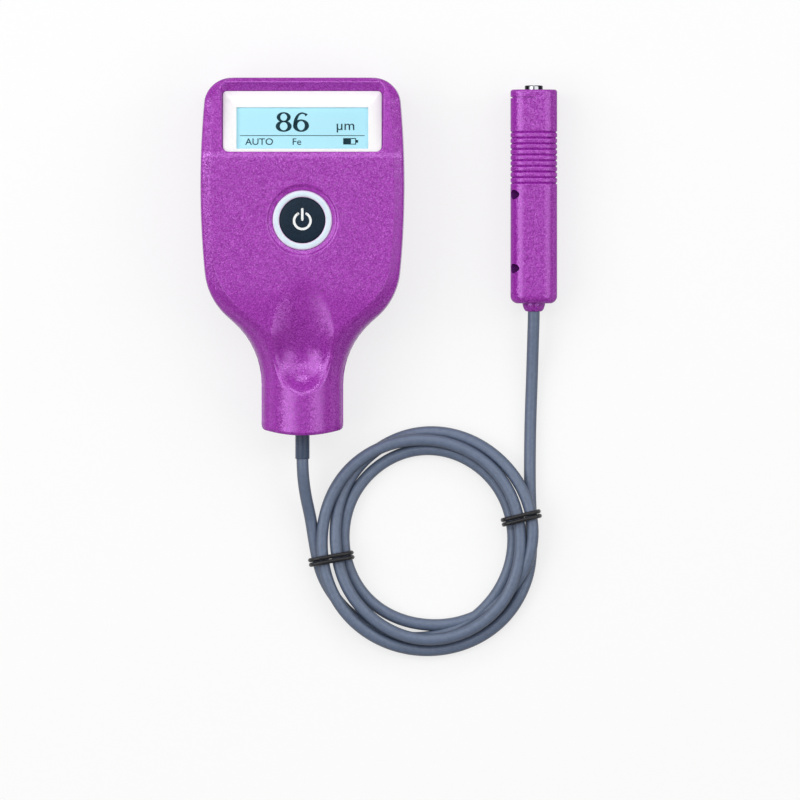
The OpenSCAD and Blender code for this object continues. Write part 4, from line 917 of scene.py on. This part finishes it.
# Main board: glass fibre and resin, cut to the body's outline and screwed to four posts.
# Solder mask: green gloss over a weave of 0.5 mm.
green_board, tree, shader, place = new_finish("solder_masked_board", Roughness=0.35)
weave = add_node(tree, "ShaderNodeTexChecker", {"Vector": place, "Scale": 1 / (0.5 * mm),
                                                "Color1": linear("1F6B3A"), "Color2": linear("246F40")})
tree.links.new(weave.outputs["Color"], shader.inputs["Base Color"])
dress(green_board, "main_board")

# Switch, its plunger and the chips, all soldered on the board, and the stop crimped on the lead.
# Black moulded plastic: dull, with a grain of 0.2 mm.
black_plastic, tree, shader, place = new_finish("black_moulded_plastic", Roughness=0.55)
grain = add_node(tree, "ShaderNodeTexNoise", {"Vector": place, "Scale": 1 / (0.2 * mm)})
ramp = add_node(tree, "ShaderNodeValToRGB", {"Fac": grain.outputs["Fac"]},
                stops=((0.3, "161618"), (0.7, "242427")))
tree.links.new(ramp.outputs["Color"], shader.inputs["Base Color"])
dress(black_plastic, "tact_switch", "switch_plunger", "board_chips", "cable_stop")

# Backlight: a moulded light guide behind the display glass.
# Milky acrylic: white, with a dot print of 0.8 mm.
white_guide, tree, shader, place = new_finish("milky_acrylic", Roughness=0.3)
dots = add_node(tree, "ShaderNodeTexVoronoi", {"Vector": place, "Scale": 1 / (0.8 * mm)})
ramp = add_node(tree, "ShaderNodeValToRGB", {"Fac": dots.outputs["Distance"]},
                stops=((0.2, "FFFFFF"), (0.6, "EDF0F2")))
tree.links.new(ramp.outputs["Color"], shader.inputs["Base Color"])
dress(white_guide, "backlight")

# Display's flex: a bent strip of film from the backlight to the board.
# Polyimide film: amber, with copper lines 0.6 mm apart.
amber_film, tree, shader, place = new_finish("polyimide_film", Roughness=0.4)
lines = add_node(tree, "ShaderNodeTexWave", {"Vector": place, "Scale": 0.31 / (0.6 * mm)},
                 bands_direction="X")
ramp = add_node(tree, "ShaderNodeValToRGB", {"Fac": lines.outputs["Fac"]},
                stops=((0.4, "B06A1C"), (0.6, "D08C3A")))
tree.links.new(ramp.outputs["Color"], shader.inputs["Base Color"])
dress(amber_film, "display_flex")

# Cells: two AAA cells side by side in the bay, steel cans in a plastic jacket that was shrunk on.
# Cell jacket: plain amber gloss with a faint mottle of 1.5 mm.
cell_jacket, tree, shader, place = new_finish("shrunk_cell_jacket", Roughness=0.25)
mottle = add_node(tree, "ShaderNodeTexNoise", {"Vector": place, "Scale": 1 / (1.5 * mm)})
ramp = add_node(tree, "ShaderNodeValToRGB", {"Fac": mottle.outputs["Fac"]},
                stops=((0.3, "B9791E"), (0.7, "C8892C")))
tree.links.new(ramp.outputs["Color"], shader.inputs["Base Color"])
dress(cell_jacket, "battery_left", "battery_right")

# Table top: a plain sheet of white paper, laid flat under the gauge. It keeps the soft shadows of the
# gauge, the probe and the lead.
bm = bmesh.new()
bmesh.ops.create_grid(bm, x_segments=1, y_segments=1, size=4.0)
bmesh.ops.translate(bm, vec=(0, 0, -0.0002), verts=bm.verts)
mesh = bpy.data.meshes.new("table_top")
bm.to_mesh(mesh)
bm.free()
# White paper: dull, with fibres of 2 mm. To the camera and in mirrored or clear surfaces it is partly lit
# from itself, so that it stays white round the shadow, and to the pieces over it it is a plain grey.
white_sheet, tree, shader, place = new_finish("white_paper_sheet", Roughness=0.9)
fibres = add_node(tree, "ShaderNodeTexNoise", {"Vector": place, "Scale": 1 / (2.0 * mm), "Detail": 2.0})
ramp = add_node(tree, "ShaderNodeValToRGB", {"Fac": fibres.outputs["Fac"]},
                stops=((0.3, "FBFBFB"), (0.7, "FDFDFD")))
rays = add_node(tree, "ShaderNodeLightPath").outputs
seen = add_node(tree, "ShaderNodeMath", {0: rays["Is Camera Ray"], 1: rays["Is Glossy Ray"]},
                operation="MAXIMUM")
seen = add_node(tree, "ShaderNodeMath", {0: seen.outputs["Value"], 1: rays["Is Transmission Ray"]},
                operation="MAXIMUM")
tint = add_node(tree, "ShaderNodeMixRGB", {"Fac": seen.outputs["Value"], "Color1": linear("8C8C8C"),
                                           "Color2": ramp.outputs["Color"]})
tree.links.new(tint.outputs["Color"], shader.inputs["Base Color"])
share = add_node(tree, "ShaderNodeMath", {0: seen.outputs["Value"], 1: 0.72}, operation="MULTIPLY")
glow = add_node(tree, "ShaderNodeEmission", {"Color": (1, 1, 1, 1), "Strength": 1.0})
sheet = add_node(tree, "ShaderNodeMixShader", {0: share.outputs["Value"], 1: shader.outputs["BSDF"],
                                               2: glow.outputs["Emission"]})
tree.links.new(sheet.outputs["Shader"], tree.nodes["Material Output"].inputs["Surface"])
mesh.materials.append(white_sheet)
table_top = bpy.data.objects.new("table_top", mesh)
scene.collection.objects.link(table_top)

# Studio light: a pale dome and six soft lamps. Two long ones run along both sides, the left one stronger,
# one hangs over the display end, one stands behind it, and two small low ones pick out the side edges.
world = bpy.data.worlds.new("studio")
scene.world = world
world.use_nodes = True
world.node_tree.nodes["Background"].inputs["Color"].default_value = (1, 1, 1, 1)
world.node_tree.nodes["Background"].inputs["Strength"].default_value = 0.19
aim_x = 0.03
lamps = [("left", (-0.78, 0.2, 0.95), 0.2, (1.75, 0.8), 8.3),
         ("right", (0.84, 0.2, 0.95), 0.2, (1.75, 0.8), 5.5),
         ("top", (0.0, 0.34, 1.2), -0.04, (1.0, 0.28), 2.5),
         ("back", (0.0, 1.1, 0.8), -0.04, (0.6, 0.3), 2.5),
         ("left_kick", (-1.08, 0.31, 0.53), 0.03, (0.18, 0.34), 1.5),
         ("right_kick", (1.08, 0.31, 0.53), 0.03, (0.18, 0.34), 1.0)]
for name, spot, aim_y, size, power in lamps:
    lamp = bpy.data.lights.new(name, "AREA")
    lamp.shape, lamp.energy = "RECTANGLE", power
    lamp.size, lamp.size_y = size
    holder = bpy.data.objects.new(name, lamp)
    holder.location = spot
    holder.rotation_euler = (Vector((aim_x, aim_y, 0.0)) - Vector(spot)).to_track_quat("-Z", "Y").to_euler()
    scene.collection.objects.link(holder)

# Camera: straight above the middle of the picture and far off, with a long lens, as for a catalogue.
# The picture is as wide as the object needs at the height of the parting line.
camera_z, half_view = 10000, 123.4
view = bpy.data.cameras.new("view")
view.sensor_width = 36.0
view.lens = view.sensor_width / 2 * (camera_z - part_z) / half_view
camera = bpy.data.objects.new("view", view)
camera.location = (0.0301, -0.0444, camera_z * mm)
scene.collection.objects.link(camera)
scene.camera = camera
